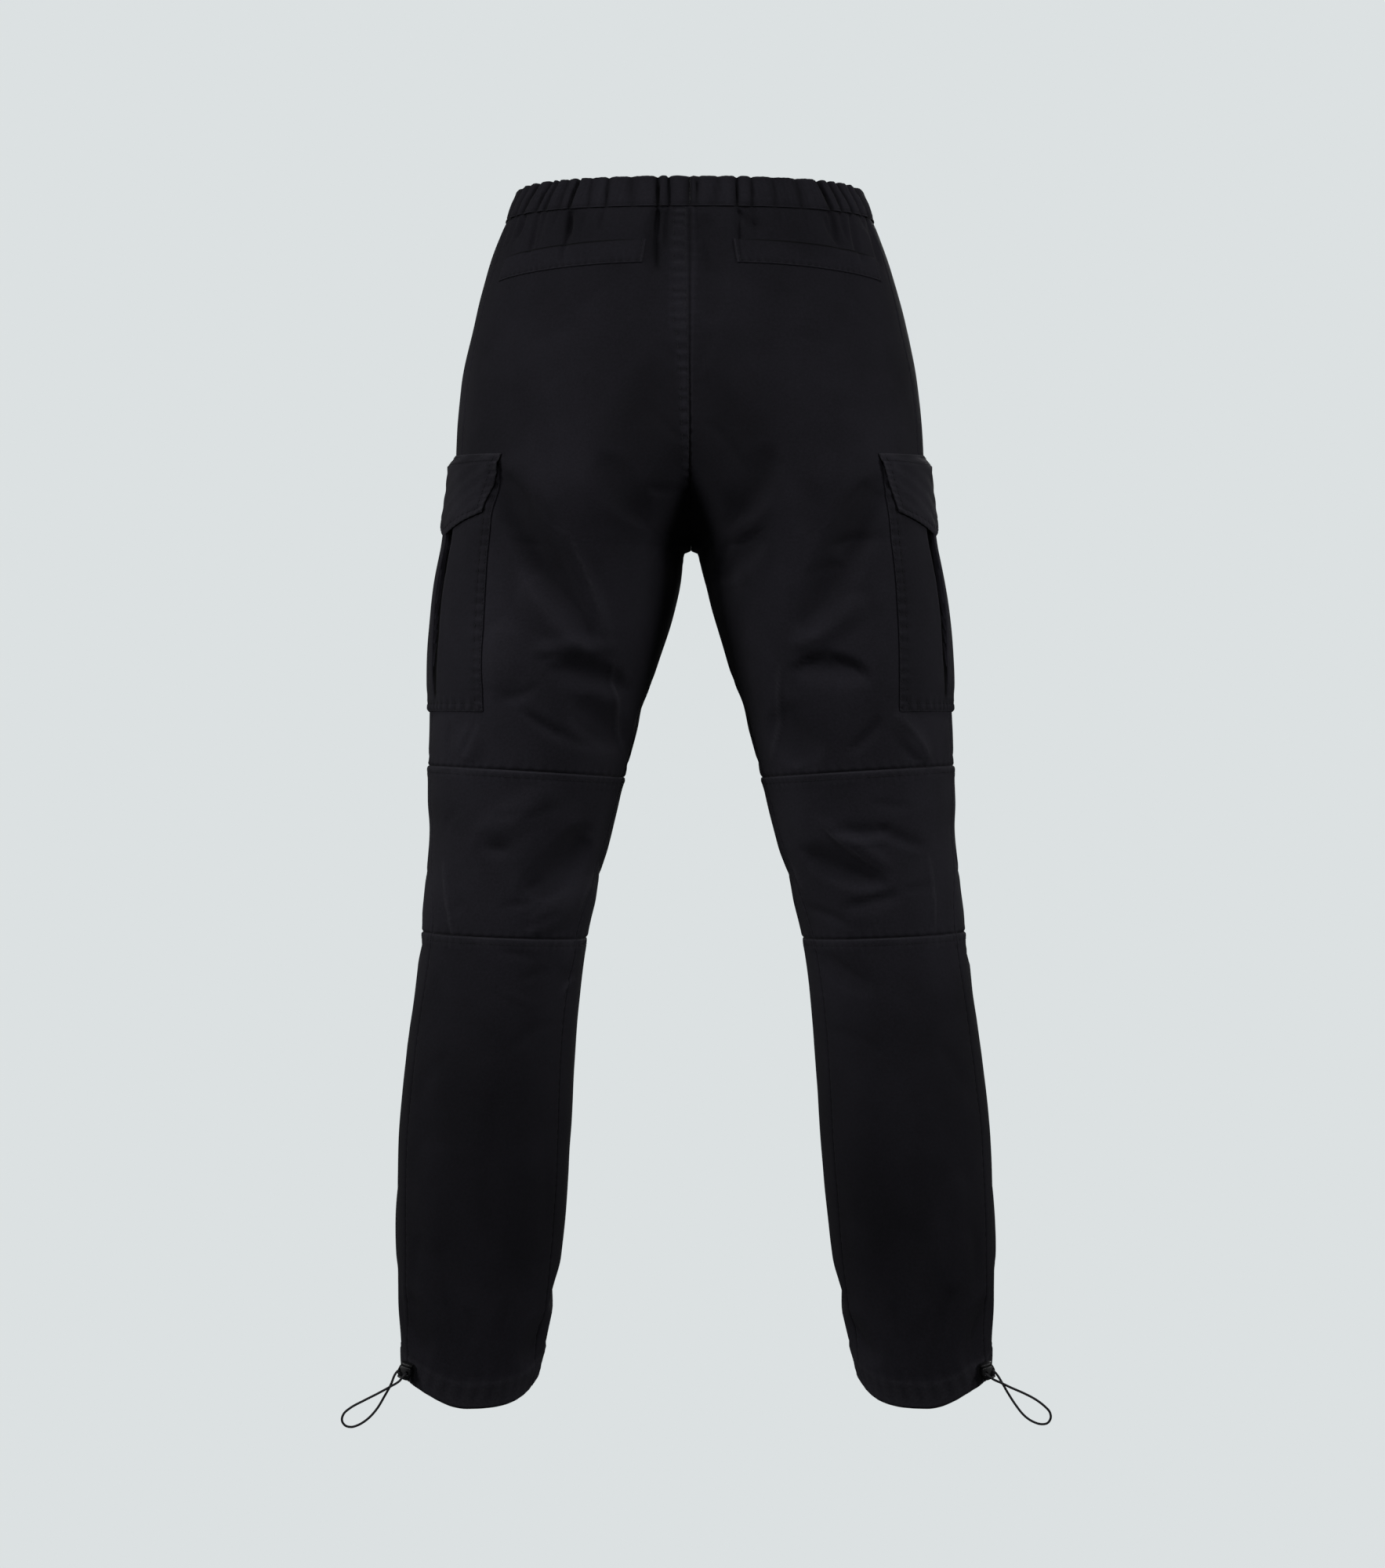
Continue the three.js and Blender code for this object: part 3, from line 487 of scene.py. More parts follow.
@dataclass(frozen=True)
class Fold:
    """A fold or a fine crease on one face of a leg, straight or bowed."""

    face: Face
    across1: float
    z1: float
    across2: float
    z2: float
    width: float
    depth: float
    lean: float = 0.0
    bow: float = 0.0
    sharp: bool = False

    @classmethod
    def listed(cls, table: Table, sharp: bool) -> list["Fold"]:
        """Returns the folds of a table."""
        return [cls(**{**row, "face": Face(row["face"])}, sharp=sharp) for row in table.records()]

    def shape(self, across: np.ndarray, z: np.ndarray) -> np.ndarray:
        """The fold's rounded section, fading out at both ends.

        Args:
            across: Places across the face, in millimetres.
            z: Their heights.

        Returns:
            Its share of the full depth there.
        """
        run_a, run_z = self.across2 - self.across1, self.z2 - self.z1
        off_a, off_z = across - self.across1, z - self.z1
        square = run_a**2 + run_z**2
        length = math.sqrt(square)
        t = (off_a * run_a + off_z * run_z) / square
        inside = np.clip(t, 0, 1)
        sideways = (off_a * run_z - off_z * run_a) / length
        sideways = sideways - 4 * self.bow * inside * (1 - inside)
        beyond = (t - inside) * length
        swell = np.sqrt(4 * inside * (1 - inside))
        width = self.width * (0.45 + 0.55 * swell)
        u = np.clip(sideways / width, -1, 1)
        u = u + self.lean * (1 - u * u)
        r = np.clip(np.hypot(u, beyond / width), 0, 1)
        soft = (1 - r * r) ** 2 * (0.35 + 0.65 * swell)
        if self.sharp:
            return (0.5 * soft + 0.5 * (1 - r) ** 2 * (0.3 + 0.7 * swell)) * (1 - 1.8 * r * r)
        return soft


@dataclass
class Leg:
    """The outer surface of one half of the trousers, from the waist to the hem."""

    side: Side
    folds: list[Fold] = field(default_factory=list)

    def __post_init__(self) -> None:
        """Collects the folds and the creases that run down from the waistband's gathers."""
        broad, fine = Fold.listed(FOLDS, sharp=False), Fold.listed(CREASES, sharp=True)
        self.folds = broad + fine + self.gather_creases()

    @staticmethod
    def gather_creases() -> list[Fold]:
        """Returns the creases that the waistband's gathers press into the cloth below."""
        found = []
        for face, table in ((Face.BACK, BACK_GATHERS), (Face.FRONT, FRONT_GATHERS)):
            for number, row in enumerate(table.records()):
                across = row["across"] * 155 / 150
                length = 12 + 15 * row["depth"] * (0.6 + 0.4 * math.sin(2.3 * number))
                found.append(Fold(
                    face, across, -WAISTBAND_HEIGHT, across * 1.06, -WAISTBAND_HEIGHT - length,
                    width=5.5, depth=-1.5 * row["depth"], bow=math.sin(5.1 * number), sharp=True,
                ))
        return found

    def base(self, z: np.ndarray, angle: np.ndarray) -> dict[str, np.ndarray]:
        """The smooth form, before folds, as on the right half.

        Args:
            z: Heights along the leg.
            angle: Degrees round it, from the inner side over the back to the outer side.

        Returns:
            Its x, y, height, outward normal and lean, and its place across both halves.
        """
        outer, inner = SECTIONS.read("outer", z), SECTIONS.read("inner", z)
        back, front = SECTIONS.read("back", z), SECTIONS.read("front", z)
        half_width, half_depth = (outer - inner) / 2, (front - back) / 2
        power = 2 / HANG.read("round", z)
        turn = np.radians(angle)
        c, s = np.cos(turn), np.sin(turn)
        normal_x = -signed_power(c, 2 - power) / half_width
        normal_y = -signed_power(s, 2 - power) / half_depth
        length = np.hypot(normal_x, normal_y)
        outer_lean, inner_lean = HANG.read("outerLean", z), HANG.read("innerLean", z)
        slope = HANG.read("slope", z)
        y = (back + front) / 2 - half_depth * signed_power(s, power)
        drawn = np.where(c < 0, 1, -0.4) * HEM_LIFT * np.sin(2 * turn) ** 2
        height = z - HANG.read("rise", z) * c + slope * (y - (back + front) / 2)
        web = np.maximum(0, inner - MIDDLE_GAP) * smoothstep(z, CROTCH_FOOT_Z, CROTCH_Z)
        x = (outer + inner) / 2 - half_width * signed_power(c, power) - web * smoothstep(c, 0.85, 1)
        lean = inner_lean + (outer_lean - inner_lean) * (1 - c) / 2
        return {
            "x": x,
            "y": y,
            "height": height + drawn * slope / HEM_SLOPE,
            "normal_x": normal_x / length,
            "normal_y": normal_y / length,
            "lean": lean,
            "across": self.side.value * x + lean,
        }

    def fold_height(self, base: dict[str, np.ndarray], folds: list[Fold]) -> np.ndarray:
        """How far folds lift the cloth, along its outward normal.

        Args:
            base: Places of the smooth form.
            folds: The folds that count.

        Returns:
            The lift, in millimetres.
        """
        seen = {
            Face.BACK: (-base["normal_y"], base["across"]),
            Face.FRONT: (base["normal_y"], base["across"]),
            Face.OUTER: (base["normal_x"], base["y"]),
            Face.INNER: (-base["normal_x"], base["y"]),
        }
        height = np.zeros_like(base["across"])
        for fold in folds:
            facing, across = seen[fold.face]
            weight = smoothstep(facing, 0.1, 0.6)
            height += weight * fold.depth * fold.shape(across, base["height"])
        return height

    def point(self, z: np.ndarray, angle: np.ndarray, out: np.ndarray | float = 0.0,
              past: float = -MIDDLE_GAP) -> np.ndarray:
        """Places on the cloth.

        Args:
            z: Heights along the leg.
            angle: Degrees round it.
            out: How far outside the panels' outer face, in millimetres.
            past: How far past the middle plane a place may lie.

        Returns:
            Points, the last axis x, y, z in millimetres.
        """
        z, angle = np.broadcast_arrays(np.asarray(z, float), np.asarray(angle, float))
        base = self.base(z, angle)
        place = np.stack([base["across"], base["y"], base["height"]], axis=-1)
        fold = self.fold_height(base, self.folds)
        soft = 0.9 * waver(place * (1, 1, 0.6), 46, 3.1) + 0.35 * waver(place * (1, 1, 0.5), 15, 8.7)
        move = fold + soft * smoothstep(-z, 24, 60) + out
        x = np.maximum(base["x"] + base["normal_x"] * move, -past)
        y = base["y"] + base["normal_y"] * move
        return np.stack([self.side.value * x + base["lean"], y, base["height"]], axis=-1)

    def crest_at(self, z: np.ndarray, angle: np.ndarray) -> np.ndarray:
        """Returns how high the narrow crests stand, where the cloth rubs pale."""
        crests = [f for f in self.folds if f.sharp and f.depth > 0 and f.width < CREST_WIDTH]
        return np.maximum(self.fold_height(self.base(z, angle), crests), 0)

    def fold_at(self, z: np.ndarray, angle: np.ndarray) -> np.ndarray:
        """Returns how far all folds lift the cloth at heights and angles."""
        return self.fold_height(self.base(z, angle), self.folds)

    @staticmethod
    def middle_angle(z: np.ndarray) -> np.ndarray:
        """Returns the angle where the cloth crosses the middle plane, or 0 where it doesn't."""
        outer, inner = SECTIONS.read("outer", z), SECTIONS.read("inner", z)
        ratio = ((outer + inner) - 2 * MIDDLE_GAP) / (outer - inner)
        half = HANG.read("round", z) / 2
        return np.degrees(np.arccos(np.clip(signed_power(np.clip(ratio, -1, 1), half), -1, 1)))

    def speed(self, z: np.ndarray, angle: np.ndarray) -> np.ndarray:
        """Returns how many millimetres of cloth lie in one degree, there."""
        a, b = self.base(z, angle - 0.5), self.base(z, angle + 0.5)
        return np.maximum(np.hypot(a["x"] - b["x"], a["y"] - b["y"]), 0.2)

    def walk(self, z: np.ndarray, start: np.ndarray, distance: np.ndarray) -> np.ndarray:
        """Returns the angles that lie a distance round the leg from others."""
        steps = 16
        angle = np.array(start, dtype=float) + np.zeros_like(distance)
        for _ in range(steps):
            half = angle + 0.5 * distance / steps / self.speed(z, angle)
            angle = angle + distance / steps / self.speed(z, half)
        return angle


def stations(length: float, step: float, near: tuple[float, ...]) -> np.ndarray:
    """Places along a length, close together near both ends.

    Args:
        length: The length to divide, in millimetres.
        step: The usual step.
        near: Distances from each end that are also used.

    Returns:
        Rising distances from 0 to length.
    """
    inner = near[-1]
    count = max(2, round((length - 2 * inner) / step))
    middle = np.linspace(inner, length - inner, count + 1)
    return np.concatenate([near[:-1], middle, length - np.array(near[:-1])[::-1]])


def feed(tree: bpy.types.NodeTree, node: bpy.types.Node, **inputs: object) -> bpy.types.Node:
    """Sets a node's inputs, or links them where a socket is given.

    Args:
        tree: The node's tree.
        node: The node.
        inputs: Values or sockets by the input's name, with _ for a space.

    Returns:
        The same node.
    """
    for name, value in inputs.items():
        socket = node.inputs[name.replace("_", " ")]
        if isinstance(value, bpy.types.NodeSocket):
            tree.links.new(value, socket)
        else:
            socket.default_value = value
    return node


@dataclass(frozen=True)
class Finish:
    """A material made of nodes."""

    name: str

    def start(self) -> tuple[bpy.types.Material, bpy.types.Node, bpy.types.NodeTree]:
        """Returns a new material, its shader and its node tree."""
        material = bpy.data.materials.new(self.name)
        material.use_nodes = True
        return material, material.node_tree.nodes["Principled BSDF"], material.node_tree

    @staticmethod
    def node(tree: bpy.types.NodeTree, kind: str, **inputs: object) -> bpy.types.NodeSocket:
        """Adds a node, feeds its inputs and returns its first output."""
        return feed(tree, tree.nodes.new(kind), **inputs).outputs[0]

    @staticmethod
    def combine(tree: bpy.types.NodeTree, operation: str, first: bpy.types.NodeSocket,
                second: bpy.types.NodeSocket | float) -> bpy.types.NodeSocket:
        """Adds a math node over two sockets, or a socket and a number, and returns its output."""
        made = tree.nodes.new("ShaderNodeMath")
        made.operation = operation
        tree.links.new(first, made.inputs[0])
        if isinstance(second, float):
            made.inputs[1].default_value = second
        else:
            tree.links.new(second, made.inputs[1])
        return made.outputs[0]

    @staticmethod
    def mix(tree: bpy.types.NodeTree, amount: bpy.types.NodeSocket, first: object,
            second: tuple) -> bpy.types.NodeSocket:
        """Adds a mix of a colour, or a colour's socket, with a second colour."""
        made = tree.nodes.new("ShaderNodeMix")
        made.data_type = "RGBA"
        return feed(tree, made, Factor=amount, A=first, B=second).outputs["Result"]

    @staticmethod
    def wear_and_shade(tree: bpy.types.NodeTree) -> bpy.types.NodeSocket:
        """Returns how rubbed each place is, or how deep its painted shade is, from the mesh."""
        made = tree.nodes.new("ShaderNodeAttribute")
        made.attribute_name = "wear_and_shade"
        return made.outputs["Fac"]


@dataclass(frozen=True)
class Twill(Finish):
    """Washed black cotton twill: diagonal ribs, uneven dye, paler seams, and painted shade in creases,
    grooves and hollows.
    """

    name: str = "black_twill"
    deep: tuple = (0.0070, 0.0066, 0.0090, 1)
    faded: tuple = (0.0140, 0.0132, 0.0178, 1)
    worn: tuple = (0.030, 0.029, 0.035, 1)
    painted_shade_tone: tuple = (0.0010, 0.0010, 0.0013, 1)
    rib_scale: float = 1450.0 / 3.14
    rib_lean: float = 62.0

    def make(self) -> bpy.types.Material:
        """Returns the material."""
        material, shader, tree = self.start()
        place, wear_and_shade = tree.nodes.new("ShaderNodeTexCoord").outputs, self.wear_and_shade(tree)
        cloud = self.node(tree, "ShaderNodeTexNoise", Vector=place["Object"],
                          Scale=9.0, Detail=5.0, Roughness=0.6)
        grain = self.node(tree, "ShaderNodeTexNoise", Vector=place["UV"],
                          Scale=420.0, Detail=3.0, Roughness=0.7)
        both = self.combine(tree, "ADD", cloud, self.combine(tree, "MULTIPLY", grain, 0.7))
        dye = self.node(tree, "ShaderNodeMapRange", Value=both, From_Min=0.62, From_Max=1.08)
        washed = self.mix(tree, dye, self.deep, self.faded)
        # Positive values mix in the paler rubbed colour; negative values mix in a near-black tone,
        # which is painted shade.
        rubbed = self.combine(tree, "MULTIPLY", self.combine(tree, "MAXIMUM", wear_and_shade, 0.0), grain)
        painted_shade_amount = self.combine(tree, "MAXIMUM", self.combine(tree, "MULTIPLY", wear_and_shade, -1.0), 0.0)
        colour = self.mix(tree, painted_shade_amount, self.mix(tree, rubbed, washed, self.worn), self.painted_shade_tone)
        turn = self.node(tree, "ShaderNodeMapping", Vector=place["UV"],
                         Rotation=(0.0, 0.0, math.radians(self.rib_lean)))
        wave = feed(tree, tree.nodes.new("ShaderNodeTexWave"), Vector=turn,
                    Scale=self.rib_scale, Distortion=1.2, Detail=2.0)
        relief = self.combine(tree, "ADD", wave.outputs["Fac"], grain)
        feed(
            tree, shader, Base_Color=colour, Specular_IOR_Level=0.07,
            Sheen_Weight=0.03, Sheen_Roughness=0.45,
            Roughness=self.node(tree, "ShaderNodeMapRange", Value=grain, To_Min=0.74, To_Max=0.92),
            Normal=self.node(tree, "ShaderNodeBump", Height=relief, Strength=0.35, Distance=0.00022),
        )
        return material


@dataclass(frozen=True)
class Thread(Finish):
    """Black polyester sewing thread, a little shinier than the cloth."""

    name: str = "black_thread"
    dark: tuple = (0.0055, 0.0055, 0.0065, 1)
    pale: tuple = (0.014, 0.014, 0.016, 1)

    def make(self) -> bpy.types.Material:
        """Returns the material."""
        material, shader, tree = self.start()
        place = tree.nodes.new("ShaderNodeTexCoord").outputs
        fleck = self.node(tree, "ShaderNodeTexNoise", Vector=place["Object"], Scale=600.0, Detail=2.0)
        feed(tree, shader, Base_Color=self.mix(tree, fleck, self.dark, self.pale),
             Roughness=0.66, Specular_IOR_Level=0.16)
        return material


@dataclass(frozen=True)
class Moulded(Finish):
    """Black moulded plastic with a fine spark-eroded grain and rubbed edges."""

    name: str = "black_plastic"
    dark: tuple = (0.009, 0.009, 0.010, 1)
    rubbed: tuple = (0.02, 0.02, 0.021, 1)

    def make(self) -> bpy.types.Material:
        """Returns the material."""
        material, shader, tree = self.start()
        place = tree.nodes.new("ShaderNodeTexCoord").outputs
        grain = self.node(tree, "ShaderNodeTexNoise", Vector=place["Object"], Scale=1800.0, Detail=3.0)
        feed(
            tree, shader, Base_Color=self.mix(tree, self.wear_and_shade(tree), self.dark, self.rubbed),
            Specular_IOR_Level=0.3,
            Roughness=self.node(tree, "ShaderNodeMapRange", Value=grain, To_Min=0.32, To_Max=0.55),
            Normal=self.node(tree, "ShaderNodeBump", Height=grain, Strength=0.25, Distance=0.0001),
        )
        return material


@dataclass(frozen=True)
class Braid(Finish):
    """Braided elastic cord: two sets of strands that cross round it, with painted shade in the grooves
    between them.
    """

    name: str = "black_braid"
    strand_scale: float = 420.0
    groove: tuple = (0.004, 0.004, 0.005, 1)
    strand: tuple = (0.013, 0.013, 0.015, 1)
    strand_lean: float = 38.0

    def make(self) -> bpy.types.Material:
        """Returns the material."""
        material, shader, tree = self.start()
        place = tree.nodes.new("ShaderNodeTexCoord").outputs
        strands = []
        for lean in (self.strand_lean, -self.strand_lean):
            turn = self.node(tree, "ShaderNodeMapping", Vector=place["UV"],
                             Rotation=(0.0, 0.0, math.radians(lean)))
            wave = feed(tree, tree.nodes.new("ShaderNodeTexWave"), Vector=turn,
                        Scale=self.strand_scale, Distortion=0.6)
            strands.append(wave.outputs["Fac"])
        height = self.combine(tree, "MAXIMUM", *strands)
        # The grooves between the strands are coloured darker as painted shade.
        feed(
            tree, shader, Base_Color=self.mix(tree, height, self.groove, self.strand),
            Roughness=0.62, Specular_IOR_Level=0.25,
            Normal=self.node(tree, "ShaderNodeBump", Height=height, Strength=0.5, Distance=0.0002),
        )
        return material


@dataclass
class Materials:
    """The finishes, made once."""

    twill: bpy.types.Material
    thread: bpy.types.Material
    plastic: bpy.types.Material
    braid: bpy.types.Material

    @classmethod
    def make(cls) -> "Materials":
        """Returns all finishes."""
        return cls(Twill().make(), Thread().make(), Moulded().make(), Braid().make())


def add_object(name: str, data: bpy.types.ID) -> bpy.types.Object:
    """Links a new object with its data to the scene and returns it."""
    made = bpy.data.objects.new(name, data)
    bpy.context.scene.collection.objects.link(made)
    return made


def make_object(name: str, vertices: np.ndarray, faces: list[tuple],
                material: bpy.types.Material, uv: np.ndarray | None = None,
                wear_and_shade: np.ndarray | None = None) -> bpy.types.Object:
    """Makes a smooth mesh object from millimetre points.

    Args:
        name: The object's name.
        vertices: Its points, in millimetres.
        faces: Its faces, facing out.
        material: Its finish.
        uv: Metres across and along the cloth for each vertex.
        wear_and_shade: How rubbed each vertex is, to 1, or how deep its painted shade is, to -1.

    Returns:
        The object, linked to the scene.
    """
    mesh = bpy.data.meshes.new(name)
    mesh.from_pydata((vertices * MM).tolist(), [], faces)
    mesh.update()
    mesh.polygons.foreach_set("use_smooth", np.ones(len(mesh.polygons), dtype=bool))
    corners = np.empty(len(mesh.loops), dtype=np.int32)
    mesh.loops.foreach_get("vertex_index", corners)
    if uv is not None:
        layer = mesh.uv_layers.new(name="cloth")
        layer.data.foreach_set("uv", uv[corners].astype(np.float32).ravel())
    values = np.zeros(len(vertices)) if wear_and_shade is None else wear_and_shade
    attribute = mesh.attributes.new("wear_and_shade", "FLOAT", "POINT")
    attribute.data.foreach_set("value", values.astype(np.float32))
    mesh.materials.append(material)
    return add_object(name, mesh)


def cloth_wall(name: str, outer: np.ndarray, inner: np.ndarray, wear_and_shade: np.ndarray, flip: bool,
               material: bpy.types.Material) -> bpy.types.Object:
    """Makes a closed thin wall from two grids of points.

    Args:
        name: The object's name.
        outer: The outer face, rows by columns by 3.
        inner: The inner face, of the same size.
        wear_and_shade: How rubbed each place of the outer face is, or how deep its painted shade is.
        flip: Whether the grid is mirrored.
        material: Its finish.

    Returns:
        The object.
    """
    rows, columns = outer.shape[:2]
    count = rows * columns
    at = np.arange(count).reshape(rows, columns)
    a, b, c, d = at[:-1, :-1], at[1:, :-1], at[1:, 1:], at[:-1, 1:]
    front = np.stack([a, b, c, d], axis=-1).reshape(-1, 4)
    back = np.stack([a, d, c, b], axis=-1).reshape(-1, 4) + count
    rims = []
    for line, turned in ((at[0], True), (at[-1], False), (at[:, 0], False), (at[:, -1], True)):
        near, far = line[:-1], line[1:]
        quads = np.stack([near, near + count, far + count, far], axis=-1)
        rims.append(quads[:, ::-1] if turned else quads)
    faces = np.concatenate([front, back, *rims])
    if flip:
        faces = faces[:, ::-1]
    across = np.linalg.norm(np.diff(outer, axis=1), axis=2)
    down = np.linalg.norm(np.diff(outer, axis=0), axis=2)
    u = np.concatenate([np.zeros((rows, 1)), np.cumsum(across, axis=1)], axis=1)
    u = u - u.mean(axis=1, keepdims=True)
    v = np.concatenate([np.zeros((1, columns)), np.cumsum(down, axis=0)], axis=0)
    uv = np.stack([u, np.broadcast_to(v.mean(axis=1, keepdims=True), v.shape)], axis=-1) * MM
    points = np.concatenate([outer.reshape(-1, 3), inner.reshape(-1, 3)])
    uv = np.concatenate([uv.reshape(-1, 2), uv.reshape(-1, 2)])
    wear_and_shade = np.concatenate([wear_and_shade.ravel(), np.zeros(count)])
    return make_object(name, points, faces.tolist(), material, uv, np.clip(wear_and_shade, -1, 1))


def cloth_area(grid: np.ndarray) -> float:
    """Returns the area of a grid of millimetre points, in square metres."""
    a, b, c, d = grid[:-1, :-1], grid[1:, :-1], grid[1:, 1:], grid[:-1, 1:]
    first = np.linalg.norm(np.cross(b - a, c - a), axis=-1)
    second = np.linalg.norm(np.cross(c - a, d - a), axis=-1)
    return float((first + second).sum() / 2) * MM * MM


@dataclass
class StitchRow:
    """Geometry Nodes that lay short raised stitches along curves."""

    length: float = 2.3
    pitch: float = 3.0
    thickness: float = 0.38

    def tree(self, material: bpy.types.Material) -> bpy.types.NodeTree:
        """Builds the node tree.

        Args:
            material: The thread's finish.

        Returns:
            The tree, with the sizes as named inputs.
        """
        tree = bpy.data.node_groups.new("stitches", "GeometryNodeTree")
        face = tree.interface
        face.new_socket("Geometry", in_out="INPUT", socket_type="NodeSocketGeometry")
        for name, size in (("Stitch length", self.length), ("Pitch", self.pitch),
                           ("Thickness", self.thickness)):
            socket = face.new_socket(name, in_out="INPUT", socket_type="NodeSocketFloat")
            socket.default_value = size * MM
        thread = face.new_socket("Thread", in_out="INPUT", socket_type="NodeSocketMaterial")
        thread.default_value = material
        face.new_socket("Geometry", in_out="OUTPUT", socket_type="NodeSocketGeometry")
        new = tree.nodes.new
        start, end = new("NodeGroupInput"), new("NodeGroupOutput")
        given = start.outputs
        points = new("GeometryNodeCurveToPoints")
        points.mode = "LENGTH"
        feed(tree, points, Curve=given["Geometry"], Length=given["Pitch"])
        bead = feed(tree, new("GeometryNodeMeshUVSphere"), Segments=6, Rings=4, Radius=0.5)
        stretch = feed(tree, new("ShaderNodeCombineXYZ"), X=given["Thickness"],
                       Y=given["Thickness"], Z=given["Stitch length"])
        shaped = feed(tree, new("GeometryNodeTransform"), Geometry=bead.outputs["Mesh"],
                      Scale=stretch.outputs["Vector"])
        align = new("FunctionNodeAlignRotationToVector")
        align.axis = "Z"
        feed(tree, align, Vector=points.outputs["Tangent"])
        place = feed(tree, new("GeometryNodeInstanceOnPoints"), Points=points.outputs["Points"],
                     Instance=shaped.outputs["Geometry"], Rotation=align.outputs["Rotation"])
        real = feed(tree, new("GeometryNodeRealizeInstances"), Geometry=place.outputs["Instances"])
        smooth = feed(tree, new("GeometryNodeSetShadeSmooth"), Geometry=real.outputs["Geometry"])
        dress = feed(tree, new("GeometryNodeSetMaterial"), Geometry=smooth.outputs["Geometry"],
                     Material=given["Thread"])
        feed(tree, end, Geometry=dress.outputs["Geometry"])
        return tree

    def sew(self, name: str, lines: list[np.ndarray], tree: bpy.types.NodeTree) -> bpy.types.Object:
        """Sews rows of stitches.

        Args:
            name: The piece's name.
            lines: The rows, each an array of millimetre points.
            tree: The stitches' node tree.

        Returns:
            One plain mesh object with every stitch.
        """
        data = bpy.data.curves.new(name + "_line", "CURVE")
        data.dimensions = "3D"
        for line in lines:
            spline = data.splines.new("POLY")
            spline.points.add(len(line) - 1)
            flat = np.concatenate([line * MM, np.ones((len(line), 1))], axis=1)
            spline.points.foreach_set("co", flat.astype(np.float32).ravel())
        path = add_object(name + "_line", data)
        modifier = path.modifiers.new("stitches", "NODES")
        modifier.node_group = tree
        for item in tree.interface.items_tree:
            if item.in_out == "INPUT" and item.name == "Pitch":
                modifier[item.identifier] = self.pitch * MM
        graph = bpy.context.evaluated_depsgraph_get()
        mesh = bpy.data.meshes.new_from_object(path.evaluated_get(graph))
        bpy.data.objects.remove(path)
        mesh.name = name
        return add_object(name, mesh)


@dataclass
class Workshop:
    """What every sub-assembly needs: the finishes, the legs and the sewing."""

    materials: Materials
    legs: dict[Side, Leg]
    stitches: StitchRow
    stitch_tree: bpy.types.NodeTree

    @classmethod
    def open(cls) -> "Workshop":
        """Returns a workshop with its finishes and its stitch tree made."""
        materials = Materials.make()
        stitches = StitchRow()
        legs = {side: Leg(side) for side in Side}
        return cls(materials, legs, stitches, stitches.tree(materials.thread))

    def keep(self, piece: bpy.types.Object, slot: str, *nodes: str) -> bpy.types.Object:
        """Makes a piece ride on the body and hides what it replaces."""
        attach(piece, "root")
        if nodes:
            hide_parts(*nodes)
        LOG.info("%s: %d faces", piece.name, len(piece.data.polygons))
        return piece

    def cloth(self, name: str, side: Side, outer: np.ndarray, inner: np.ndarray,
              wear_and_shade: np.ndarray) -> bpy.types.Object:
        """Makes and keeps a twill wall that takes the place of the solid with its name."""
        flip = side is Side.LEFT
        made = cloth_wall(name + "_cloth", outer, inner, wear_and_shade, flip, self.materials.twill)
        return self.keep(made, "twill", name)

    def sew(self, name: str, lines: list[np.ndarray]) -> bpy.types.Object:
        """Makes and keeps the rows of stitches of a piece."""
        made = self.stitches.sew(name + "_stitches", lines, self.stitch_tree)
        return self.keep(made, "twill")


@dataclass
class Piece:
    """A sub-assembly on one half of the trousers."""

    shop: Workshop
    side: Side

    @property
    def leg(self) -> Leg:
        """Returns the leg that it lies on."""
        return self.shop.legs[self.side]

    def named(self, word: str) -> str:
        """Returns a name with the half's word at its end."""
        return f"{word}_{self.side.word}"


